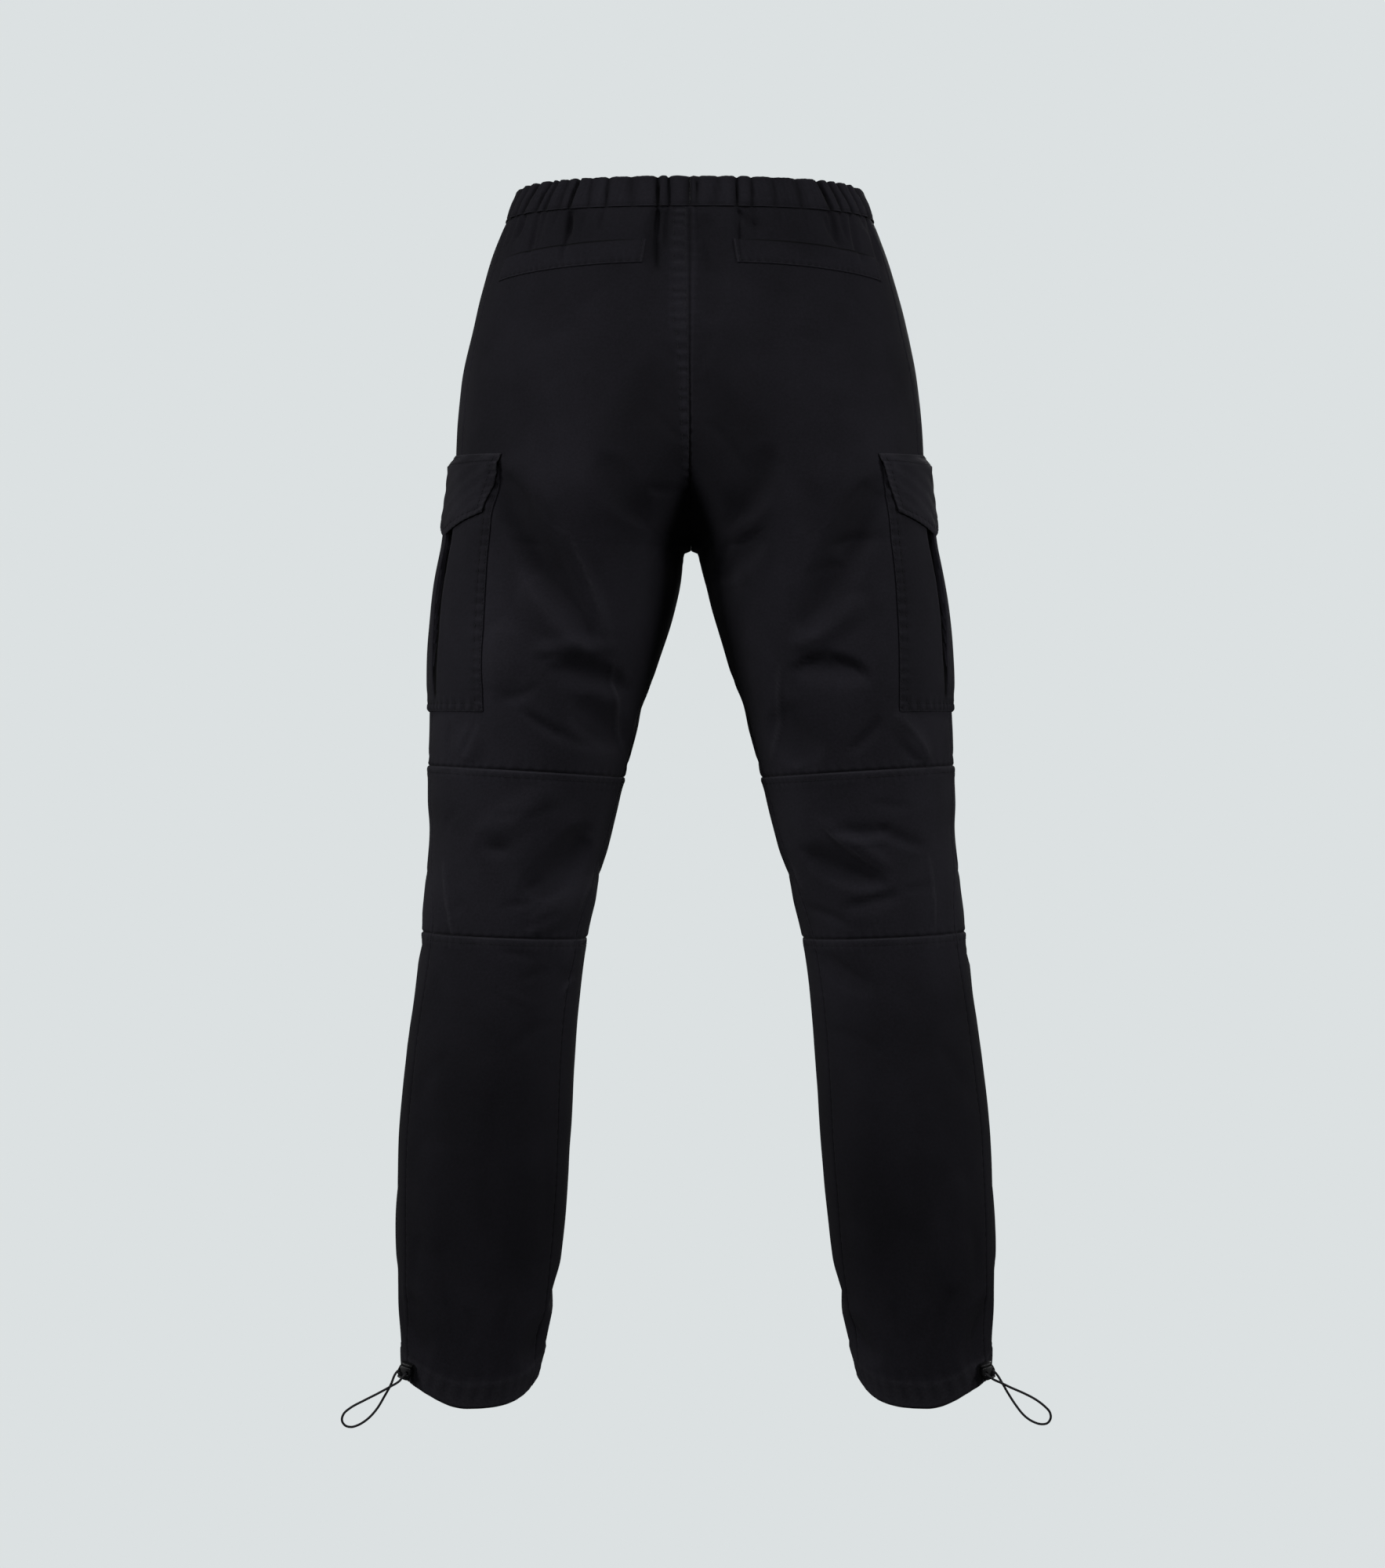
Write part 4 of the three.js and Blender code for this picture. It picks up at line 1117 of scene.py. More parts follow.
@dataclass
class Panel(Piece):
    """One cut piece of a leg, between two level seams and two upright ones."""

    face: Face
    part: Part
    cut: tuple[float, float]
    step: float = 3.4
    tuck: float = 1.35
    deep_tuck: float = 3.0
    ply: float = 0.45
    raw_edge: float = 0.05

    def __post_init__(self) -> None:
        """Works out the heights and the kinds of seam from the part."""
        self.top, self.bottom = self.part.value
        self.lapped = self.part is not Part.UPPER
        self.hemmed = self.part is Part.LOWER
        self.felled = self.part is Part.UPPER and self.side is Side.LEFT

    @property
    def name(self) -> str:
        """Returns the piece's name, which is its solid's."""
        return self.named(f"{self.face.word}_{self.part.word}")

    def limits(self, z: np.ndarray) -> tuple[np.ndarray, np.ndarray]:
        """The angles where the panel starts and ends.

        Args:
            z: Heights along the leg.

        Returns:
            The lower and the higher angle at each height.
        """
        inseam, outseam = SEAMS.read("inseam", z), SEAMS.read("outseam", z)
        gap = SEAM_GAP / 2 / self.leg.speed(z, outseam)
        middle = self.leg.middle_angle(z)
        open_ring = middle > 0
        inner = SEAM_GAP / 2 / self.leg.speed(z, inseam)
        if self.face is Face.BACK:
            return np.where(open_ring, middle, inseam + inner), outseam - gap
        return outseam + gap, np.where(open_ring, 360 - middle, inseam + 360 - inner)

    def relief(self, z: np.ndarray, width: np.ndarray, t: np.ndarray) -> np.ndarray:
        """How far seams, laps, hems and puckers lift the cloth.

        Args:
            z: Heights along the leg.
            width: The panel's width at each place.
            t: How far across the panel, from 0 to 1.

        Returns:
            The lift, in millimetres.
        """
        down, up = self.top - z, z - self.bottom
        start, end = t * width, (1 - t) * width
        lift = -0.9 * bell(start, 1.2) - 0.9 * bell(end, 1.2)
        along = start + 2.0 * np.sin(start / 31)
        if self.lapped:
            lift = lift + self.lap(down, along)
        else:
            lift = lift - 0.5 * bell(down, 1.3)
        if self.hemmed:
            lift = lift + self.hem(up, along)
        else:
            pucker = 0.34 * np.sin(2 * np.pi * along / 9.5 + 1.7 * np.sin(along / 13))
            lift = lift - 0.9 * bell(up, 1.3) + pucker * bell(up, 5)
        if self.felled:
            lift = lift + self.fell(start if self.face is Face.BACK else end, z)
        ladder = 0.25 * np.sin(2 * np.pi * z / 8.5 + np.sin(z / 17))
        return lift + ladder * (bell(start, 4) + bell(end, 4))

    @staticmethod
    def lap(down: np.ndarray, along: np.ndarray) -> np.ndarray:
        """Returns the raised, topstitched turning below a level seam."""
        plateau = smoothstep(down, 0.2, 1.3) * (1 - smoothstep(down, TOPSTITCH + 0.6, TOPSTITCH + 3))
        groove = bell(down - TOPSTITCH, 0.9)
        wave = np.sin(2 * np.pi * along / 6.4 + 2.4 * np.sin(along / 9.3))
        wave = wave * (0.65 + 0.35 * np.sin(along / 21 + 1)) + 0.3 * np.sin(along * 1.9)
        pucker = 0.5 * wave * smoothstep(down, 1, 3) * bell(np.maximum(down - TOPSTITCH, 0), 5)
        return 0.45 * plateau - 0.35 * groove + pucker - 0.9 * bell(down, 0.7)

    @staticmethod
    def hem(up: np.ndarray, along: np.ndarray) -> np.ndarray:
        """Returns the turned hem: proud of the leg, with its stitching sunk in."""
        band = 1 - smoothstep(up, HEM_BAND - 1.2, HEM_BAND + 0.6)
        groove = bell(up - HEM_BAND, 1.1)
        wave = np.sin(2 * np.pi * along / 11 + 1.4 * np.sin(along / 23))
        gather = 0.55 * wave * bell(up - HEM_BAND * 0.55, 11)
        return 0.8 * band - 1.0 * groove + gather - 1.1 * bell(up, 1.0)

    @staticmethod
    def fell(edge: np.ndarray, z: np.ndarray) -> np.ndarray:
        """Returns the flat-felled middle seam with its ladder of puckers."""
        above = smoothstep(z, CROTCH_Z, CROTCH_Z + 20)
        plateau = smoothstep(edge, 0.2, 1.0) * (1 - smoothstep(edge, 6.4, 8.4))
        rungs = np.sin(2 * np.pi * z / 5.4 + 1.3 * np.sin(z / 11))
        ladder = 0.85 * rungs * smoothstep(edge, 0.8, 2.2) * (1 - smoothstep(edge, 5.4, 8))
        grooves = bell(edge - FELL_STITCHES[0], 0.6) + bell(edge - FELL_STITCHES[1], 0.7)
        return above * (0.7 * plateau + ladder - 0.4 * grooves)

    def grid(self) -> tuple[np.ndarray, np.ndarray, np.ndarray]:
        """Returns the outer face, the inner face, and the rubbing and painted shade of the panel."""
        z_top, z_bottom = self.top - SEAM_GAP / 2, self.bottom + SEAM_GAP / 2
        if self.hemmed:
            z_bottom = self.bottom
        rows = z_top - stations(z_top - z_bottom, self.step, EDGE_STEPS)
        if self.bottom < CROTCH_Z < self.top:
            rows = np.sort(np.concatenate([rows, [CROTCH_Z, CROTCH_FOOT_Z]]))[::-1]
        low, high = self.limits(rows)
        middle = self.leg.speed(rows, (low + high) / 2)
        width = np.abs(high - low) * middle
        share = stations(width.max(), self.step, EDGE_STEPS) / width.max()
        z = np.repeat(rows[:, None], len(share), axis=1)
        t = np.repeat(share[None, :], len(rows), axis=0)
        angle = low[:, None] + (high - low)[:, None] * t
        lift = self.relief(z, width[:, None], t)
        outer = self.leg.point(z, angle, lift)
        inner = self.leg.point(z, angle, -SHELL)
        column = 0 if self.face is Face.BACK else -1
        for face in (outer, inner):
            face[self.leg.middle_angle(rows) > 0, column, 0] = self.side.value * MIDDLE_GAP
        edge = np.minimum(t, 1 - t) * width[:, None]
        wear_and_shade = self.rubbing_and_shade(z, angle, edge, lift, outer[..., 0])
        return self.with_allowances(rows, angle, outer, inner, wear_and_shade)

    def rubbing_and_shade(self, z: np.ndarray, angle: np.ndarray, edge: np.ndarray, lift: np.ndarray,
                x: np.ndarray) -> np.ndarray:
        """How rubbed the cloth is, or how far kept from the wash.

        Args:
            z: Heights along the leg.
            angle: Degrees round it.
            edge: Distances from the nearer upright seam.
            lift: How far seams and puckers lift the cloth.
            x: Places across the trousers.

        Returns:
            The rubbing and painted shade, from about -1 to 1.
        """
        wear_and_shade = (0.2 if self.hemmed else 0.4) * bell(edge - 1.1, 0.8)
        if self.lapped:
            wear_and_shade = np.maximum(wear_and_shade, 0.42 * bell(self.top - z - 1.1, 0.8))
        # Raised plateaus and fold crests are rubbed paler; sunk grooves, seam dips and fold troughs
        # are darkened as painted shade.
        wear_and_shade += 0.4 * np.clip(lift - 0.25, -1.4, 1) + HEIGHT_TONE.read("amount", z)
        wear_and_shade += 0.03 * np.clip(self.leg.fold_at(z, angle), -8, 5) + 0.3 * self.leg.crest_at(z, angle)
        # Painted shade near the middle, on the lower seat and down between the thighs, where the legs
        # shade each other.
        painted_middle_shade = bell(x, 75.0) * smoothstep(-z, 110, 190) * (1 - smoothstep(-z, 210, 430))
        return wear_and_shade - 0.28 * painted_middle_shade

    def with_allowances(self, rows: np.ndarray, angle: np.ndarray, outer: np.ndarray,
                        inner: np.ndarray, wear_and_shade: np.ndarray) -> tuple[np.ndarray, ...]:
        """Adds the turned-in allowances that lie behind the neighbouring pieces.

        Args:
            rows: The grid's heights along the leg.
            angle: Its angles.
            outer: The outer face.
            inner: The inner face.
            wear_and_shade: How rubbed the outer face is, or how deep its painted shade is.

        Returns:
            The outer face, the inner face, and the rubbing and painted shade, with the added rows and
            columns.
        """
        open_rows = self.leg.middle_angle(rows) > 0
        middle_owner = self.side is Side.LEFT
        back = self.face is Face.BACK
        long, short = np.full(len(rows), ALLOWANCE), np.full(len(rows), self.raw_edge)
        at_middle = np.where(open_rows & middle_owner, long, short)
        first = np.where(open_rows, at_middle, long) if back else short
        last = long if back else at_middle
        columns = []
        for reach, edge, way in ((first, angle[:, 0], -1), (last, angle[:, -1], 1)):
            speed = self.leg.speed(rows, edge)
            columns.append([edge + way * reach * k / speed for k in (0.06, 1.0)])
        left = np.stack(columns[0][::-1], axis=1)
        right = np.stack(columns[1], axis=1)
        wide = np.concatenate([left, angle, right], axis=1)
        z = np.repeat(rows[:, None], wide.shape[1], axis=1)
        faces = []
        for face, depth in ((outer, self.tuck), (inner, self.tuck + self.ply)):
            under = self.leg.point(z, wide, -depth, past=ALLOWANCE)
            under[:, 2:-2] = face
            faces.append(under)
        wear_and_shade = np.pad(wear_and_shade, ((0, 0), (2, 2)))
        ends = []
        if not self.lapped:
            ends.append((0, self.top, 1, self.deep_tuck))
        if not self.hemmed:
            ends.append((-1, self.bottom, -1, self.tuck))
        for at, level, way, depth in ends:
            for k, face in enumerate(faces):
                new = [self.leg.point(np.full(wide.shape[1], level + way * reach), wide[at],
                                      -depth - self.ply * k, past=ALLOWANCE)
                       for reach in (SEAM_GAP / 2, ALLOWANCE)]
                new = new[::-1] if way > 0 else new
                joined = [new, face] if way > 0 else [face, new]
                faces[k] = np.concatenate(joined, axis=0)
            wear_and_shade = np.pad(wear_and_shade, ((2, 0), (0, 0)) if way > 0 else ((0, 2), (0, 0)))
        return faces[0], faces[1], wear_and_shade

    def row_line(self, z: float) -> np.ndarray:
        """Returns a row of points across the panel at one height, for stitches."""
        low, high = self.limits(np.array([z]))
        width = float(np.abs(high - low)[0] * self.leg.speed(np.array([z]), (low + high) / 2)[0])
        t = np.linspace(0.01, 0.99, max(8, int(width / 2.5)))
        angle = low + (high - low) * t
        level = np.full_like(t, z)
        lift = self.relief(level, np.full_like(t, width), t) + STITCH_LIFT
        return self.leg.point(level, angle, lift)

    def edge_line(self, distance: float, z_from: float, z_to: float) -> np.ndarray:
        """Returns a line of points down the panel beside its middle seam, for stitches."""
        z = np.linspace(z_from, z_to, max(8, int(abs(z_to - z_from) / 2.5)))
        low, high = self.limits(z)
        width = np.abs(high - low) * self.leg.speed(z, (low + high) / 2)
        t = distance / width
        if self.face is Face.FRONT:
            t = 1 - t
        angle = low + (high - low) * t
        return self.leg.point(z, angle, self.relief(z, width, t) + STITCH_LIFT)

    def stitch_lines(self) -> list[np.ndarray]:
        """Returns the panel's rows of stitches."""
        lines = []
        if self.lapped:
            lines.append(self.row_line(self.top - TOPSTITCH))
        if self.hemmed:
            lines.append(self.row_line(self.bottom + HEM_BAND))
        if self.felled:
            for distance in FELL_STITCHES:
                lines.append(self.edge_line(distance, self.top - 2, CROTCH_Z + 24))
        return lines

    def build(self) -> bpy.types.Object:
        """Builds the panel and its stitches."""
        outer, inner, wear_and_shade = self.grid()
        made = self.shop.cloth(self.name, self.side, outer, inner, wear_and_shade)
        lines = self.stitch_lines()
        sewn = [self.shop.sew(self.name, lines)] if lines else []
        area = min(cloth_area(outer), self.cut[0] * self.cut[1])
        return made


@dataclass
class Waistband(Piece):
    """Half of the elastic casing, gathered all the way round."""

    cut: tuple[float, float] = (0.56, 0.058)
    shown: float = 0.42
    length: float = 400.0
    step: float = 1.25
    wall: float = 1.4
    stitch_z: float = -(WAISTBAND_HEIGHT - 2.2)

    def crease_angles(self) -> tuple[np.ndarray, np.ndarray]:
        """Returns the angle and the depth of each crease, from the back's middle to the front's."""
        level = np.array([-WAISTBAND_HEIGHT / 2])
        middle = float(self.leg.middle_angle(level)[0])
        half_width = float(SECTIONS.read("outer", level)[0])
        power = float(HANG.read("round", level)[0]) / 2
        found = [(middle, 0.6)]
        for face, table in ((Face.BACK, BACK_GATHERS), (Face.FRONT, FRONT_GATHERS)):
            rows = [r for r in table.records() if self.side.value * r["across"] > 2]
            rows.sort(key=lambda r: abs(r["across"]), reverse=face is Face.FRONT)
            for row in rows:
                ratio = min(1.0, abs(row["across"]) / half_width)
                angle = math.degrees(math.acos(-(ratio ** power)))
                found.append((angle if face is Face.BACK else 360 - angle, row["depth"]))
        found.append((360 - middle, 0.6))
        return np.array([f[0] for f in found]), np.array([f[1] for f in found])

    def puff(self, z: np.ndarray, angle: np.ndarray) -> np.ndarray:
        """How far the gathers lift the casing.

        Args:
            z: Heights.
            angle: Degrees round the waist.

        Returns:
            The lift, in millimetres.
        """
        angles, depths = self.crease_angles()
        number = np.arange(len(angles))
        fan = 1.1 * depths * np.cos(np.radians(angles)) * np.where(angles < 180, 1, -1)
        tilt = (0.9 * np.sin(number * 12.9898) + fan) * (number > 0) * (number < len(angles) - 1)
        lift = np.zeros_like(z)
        for row in range(z.shape[0]):
            lines = np.maximum.accumulate(angles + tilt * (z[row, 0] / 13 + 1))
            k = np.clip(np.searchsorted(lines, angle[row], side="right") - 1, 0, len(lines) - 2)
            t = np.clip((angle[row] - lines[k]) / np.maximum(lines[k + 1] - lines[k], 0.1), 0, 1)
            depth = depths[k] + (depths[k + 1] - depths[k]) * t
            lift[row] = depth * (-1.5 + 2.0 * (1 - np.abs(2 * t - 1) ** 3.6))
        ripple = np.sin(angle * 2.7 + 2.2 * np.sin(angle / 5.3) + z / 9)
        return lift + 0.3 * ripple * np.sin(angle * 0.9 + z / 14)

    def relief(self, z: np.ndarray, angle: np.ndarray) -> np.ndarray:
        """Returns the casing's whole lift: gathers, rounded rim and sunk stitching."""
        strength = 0.75 + 0.35 * np.sin(np.pi * np.clip(-z / WAISTBAND_HEIGHT, 0, 1))
        groove = 0.6 * bell(z - self.stitch_z, 1.0)
        rim = 1.3 * bell(z, 1.1)
        middle = self.leg.middle_angle(z)
        seam = np.minimum(angle - middle, 360 - middle - angle)
        close = 0.7 * bell(seam * self.leg.speed(z, angle), 1.3)
        return 0.6 + self.puff(z, angle) * strength - groove - rim - close

    def build(self) -> bpy.types.Object:
        """Builds the casing and its stitches."""
        low_edge = WAISTBAND_HEIGHT - SEAM_GAP / 2
        rows = -stations(low_edge, 1.8, (0.0, 0.4, 0.9, 1.6, 2.6))
        middle = self.leg.middle_angle(rows)
        count = int(self.length / self.step)
        t = np.linspace(0, 1, count)[None, :]
        angle = middle[:, None] + (360 - 2 * middle)[:, None] * t
        z = np.repeat(rows[:, None], count, axis=1)
        lift = self.relief(z, angle)
        outer = self.leg.point(z, angle, lift)
        inner = self.leg.point(z, angle, lift - self.wall)
        sunk = 0.45 * np.clip(0.9 - self.puff(z, angle), 0, 3) * smoothstep(z, -9, 0)
        for face in (outer, inner):
            face[..., 2] -= sunk
            face[:, (0, -1), 0] = self.side.value * MIDDLE_GAP
        # The rim is rubbed paler; the gathers' creases are darkened as painted shade.
        wear_and_shade = 0.2 * bell(z, 1.6) + 0.3 * np.clip(lift - 0.3, -3, 1) - 0.18
        name = self.named("waistband")
        made = self.shop.cloth(name, self.side, outer, inner, wear_and_shade)
        line_z = np.full((1, count), self.stitch_z)
        line_angle = np.clip(angle[-3:-2], angle[-3, 3], angle[-3, -4])
        line_lift = self.relief(line_z, line_angle) + STITCH_LIFT
        sewn = self.shop.sew(name, [self.leg.point(line_z, line_angle, line_lift)[0]])
        return made


@dataclass
class Welt(Piece):
    """The single welt of a back pocket, stitched along its foot and ends."""

    length: float = 125.0
    top: float = -54.0
    height: float = 20.0
    drop: float = 9.0
    inner_angle: float = 98.9
    outer_angle: float = 152.5
    thick: float = 1.2
    inset: float = 2.0
    cut: tuple[float, float] = (0.135, 0.04)
    shown: float = 0.5

    def place(self, t: np.ndarray, d: np.ndarray, out: np.ndarray | float) -> np.ndarray:
        """Places on the welt.

        Args:
            t: How far along it, from 0 near the middle of the back to 1 at the side seam.
            d: How far down it, from 0 to 1.
            out: How far outside its inner face.

        Returns:
            Points in millimetres.
        """
        z = self.top - self.drop * t**1.5 - self.height * d
        angle = self.inner_angle + (self.outer_angle - self.inner_angle) * t
        gape = 3.0 if self.side is Side.RIGHT else 0.9
        mouth = gape * np.sin(np.pi * t) * (1 - d) ** 2
        return self.leg.point(z, angle, LAY_GAP + mouth + out)

    def build(self) -> bpy.types.Object:
        """Builds the welt and its stitches."""
        along = stations(self.length, 2.6, (0.0, 0.5, 1.1, 1.9, 3.0)) / self.length
        down = stations(self.height, 2.2, (0.0, 0.4, 1.0, 1.8, 2.8)) / self.height
        d, t = np.meshgrid(down, along, indexing="ij")
        foot, head = (1 - d) * self.height, d * self.height
        ends = np.minimum(t, 1 - t) * self.length
        rim = 0.8 * bell(np.minimum(foot, ends), 0.9) + 0.5 * bell(head, 0.8)
        groove = 0.5 * bell(foot - self.inset, 0.7) + 0.4 * bell(ends - self.inset, 0.7)
        wave = np.sin(2 * np.pi * t * self.length / 5.2 + 1.5 * np.sin(t * 17))
        pucker = 0.42 * wave * bell(foot - 1.5, 3.5)
        outer = self.place(t, d, self.thick - rim - groove + pucker)
        inner = self.place(t, d, 0.0)
        wear_and_shade = 0.38 * bell(np.minimum(foot, ends) - 0.7, 0.9)
        # The welt's top edge along its mouth is darkened as a painted shadow; grooves get painted
        # shade and pucker crests are rubbed paler.
        wear_and_shade -= 1.3 * bell(head - 0.3, 0.9) * np.sin(np.pi * t) ** 0.5
        wear_and_shade += 0.4 * (pucker - groove)
        name = self.named("back_welt")
        made = self.shop.cloth(name, self.side, outer, inner, wear_and_shade)
        run = np.linspace(0.02, 0.98, 56)
        fall = np.linspace(0.06, 0.9, 10)
        end, low = self.inset / self.length, 1 - self.inset / self.height
        raised = self.thick - STITCH_SINK
        sewn = self.shop.sew(name, [
            self.place(run, np.full_like(run, low), raised),
            self.place(np.full_like(fall, end), fall, raised),
            self.place(np.full_like(fall, 1 - end), fall, raised),
        ])
        return made


@dataclass
class CargoPocket(Piece):
    """A patch pocket over the side seam, with an inverted pleat down its middle."""

    top: float = -238.0
    bottom: float = -443.0
    top_half: float = 61.0
    bottom_half: float = 80.0
    thick: float = 1.3
    bulge: float = 4.9
    pleat_at: float = 0.2
    pleat_steps: tuple[float, ...] = (0, 0.5, 0.72, 0.86, 1.0)
    insets: tuple[float, float] = (1.4, 7.0)
    cut: tuple[float, float] = (0.24, 0.23)
    shown: float = 0.31

    def fallen(self, z: np.ndarray) -> np.ndarray:
        """Returns how far down the pocket each height is, from 0 to 1."""
        return np.clip((self.top - z) / (self.top - self.bottom), 0, 1)

    def half(self, z: np.ndarray) -> np.ndarray:
        """Returns the pocket's half width at each height: it widens downward."""
        return self.top_half + (self.bottom_half - self.top_half) * self.fallen(z)

    def fill(self, z: np.ndarray) -> np.ndarray:
        """Returns how full the pocket is at each height, from 0 to 1."""
        t = self.fallen(z)
        rise = 0.25 + 0.75 * np.sin(np.pi * np.minimum(1, 0.12 + 0.95 * t)) ** 0.8
        return rise * smoothstep(1 - t, 0, 0.12)

    def pleat(self, s: np.ndarray, z: np.ndarray) -> tuple[np.ndarray, np.ndarray]:
        """Returns the distance from the pleat's middle and the half width of its opening."""
        middle = self.pleat_at * self.half(z) + 1.4 * np.sin(z / 37 + 1) + 0.6 * np.sin(z / 13)
        return s - middle, 2.4 + 4.2 * self.fill(z)

    def tuck(self, s: np.ndarray, z: np.ndarray) -> np.ndarray:
        """Returns how far the cloth inside the opening is tucked under the pleat's folds."""
        off, wide = self.pleat(s, z)
        q = np.abs(off) / wide
        reach = np.interp(q, self.pleat_steps, (0.0, 3.6, 2.6, 0.9, 0.0))
        return np.sign(off) * reach * self.fill(z)

    def lift(self, s: np.ndarray, z: np.ndarray, pleat: bool = True) -> np.ndarray:
        """How far the pocket's cloth stands off the leg.

        Args:
            s: Distance round the leg from the pocket's middle.
            z: Heights.
            pleat: Whether the pleat's opening is cut in.

        Returns:
            The lift, in millimetres.
        """
        half = self.half(z)
        envelope = 1.06 * (1 - np.clip(np.abs(s) / half, 0, 1) ** 3) ** 0.9
        fill = self.fill(z)
        lift = self.bulge * envelope * fill
        if pleat:
            off, wide = self.pleat(s, z)
            near, far = bell(off - wide - 3, 4.5), bell(off + wide + 3, 6.5)
            lift = lift + fill * (0.3 * near + 2.2 * far)
            q = np.abs(off) / wide
            share = np.interp(q, self.pleat_steps, (0.04, 0.06, 0.5, 0.8, 1.0))
            lift = lift * np.where(q < 1, share, 1)
        return lift

    def place(self, s: np.ndarray, z: np.ndarray, out: np.ndarray | float) -> np.ndarray:
        """Returns points a distance round from the pocket's middle and out from the leg."""
        angle = self.leg.walk(z, SEAMS.read("outseam", z), -s)
        return self.leg.point(z, angle, LAY_GAP + out)

    def build(self) -> bpy.types.Object:
        """Builds the pocket and its stitches."""
        width = self.top_half + self.bottom_half
        share = 1 - 2 * stations(width, 1.1, EDGE_STEPS) / width
        rows = self.top - stations(self.top - self.bottom, 2.8, EDGE_STEPS)
        z, share = np.meshgrid(rows, share, indexing="ij")
        half = self.half(z)
        s = share * half
        edge = np.minimum(half - np.abs(s), z - self.bottom)
        near, far = self.insets
        groove = 0.45 * bell(edge - near, 0.6) + 0.45 * bell(edge - far, 0.8)
        seam = np.where(half - np.abs(s) < z - self.bottom, z, s)
        wave = np.sin(2 * np.pi * seam / 8.8 + 2.1 * np.sin(seam / 17))
        wave = wave * np.abs(wave) ** 0.6 + 0.35 * np.sin(seam * 1.7)
        pucker = 0.6 * wave * bell(np.maximum(edge - 2, 0), 7) * smoothstep(edge, 0, 1.5)
        lift = self.lift(s, z)
        across = s + self.tuck(s, z)
        outer = self.place(across, z, lift + self.thick - 0.9 * bell(edge, 0.9) - groove + pucker)
        inner = self.place(across, z, lift * 0.98 + 0.3)
        off, wide = self.pleat(s, z)
        q = np.abs(off) / wide
        # Painted shade fills the pleat's opening and darkens the grooves; the pleat's folded edges and
        # pucker crests are rubbed paler.
        painted_shade_amount = (1 - smoothstep(q, 0.7, 0.92)) * smoothstep(self.fill(z), 0, 0.3)
        folds = bell(q - 1.12, 0.16) * smoothstep(self.fill(z), 0.1, 0.5)
        wear_and_shade = 0.6 * bell(edge - 0.8, 1.1) + 0.5 * folds + 0.4 * (pucker - groove) - 1.2 * painted_shade_amount
        name = self.named("cargo_pocket")
        made = self.shop.cloth(name, self.side, outer, inner, wear_and_shade - 0.15)
        sewn = self.shop.sew(name, self.stitch_lines())
        area = max(round(cloth_area(outer), 4), self.shown * self.cut[0] * self.cut[1])
        return made

    def stitch_lines(self) -> list[np.ndarray]:
        """Returns the rows of stitches inside the pocket's edges."""
        lines = []
        for inset in self.insets:
            side_z = np.linspace(self.top - 4, self.bottom + inset, 80)
            foot_s = np.linspace(self.bottom_half - inset, inset - self.bottom_half, 60)
            for sign in (1, -1):
                s = sign * (self.half(side_z) - inset)
                out = self.lift(s, side_z) + self.thick - STITCH_SINK
                lines.append(self.place(s, side_z, out))
            z = np.full_like(foot_s, self.bottom + inset)
            lines.append(self.place(foot_s, z, self.lift(foot_s, z) + self.thick - STITCH_SINK))
        return lines


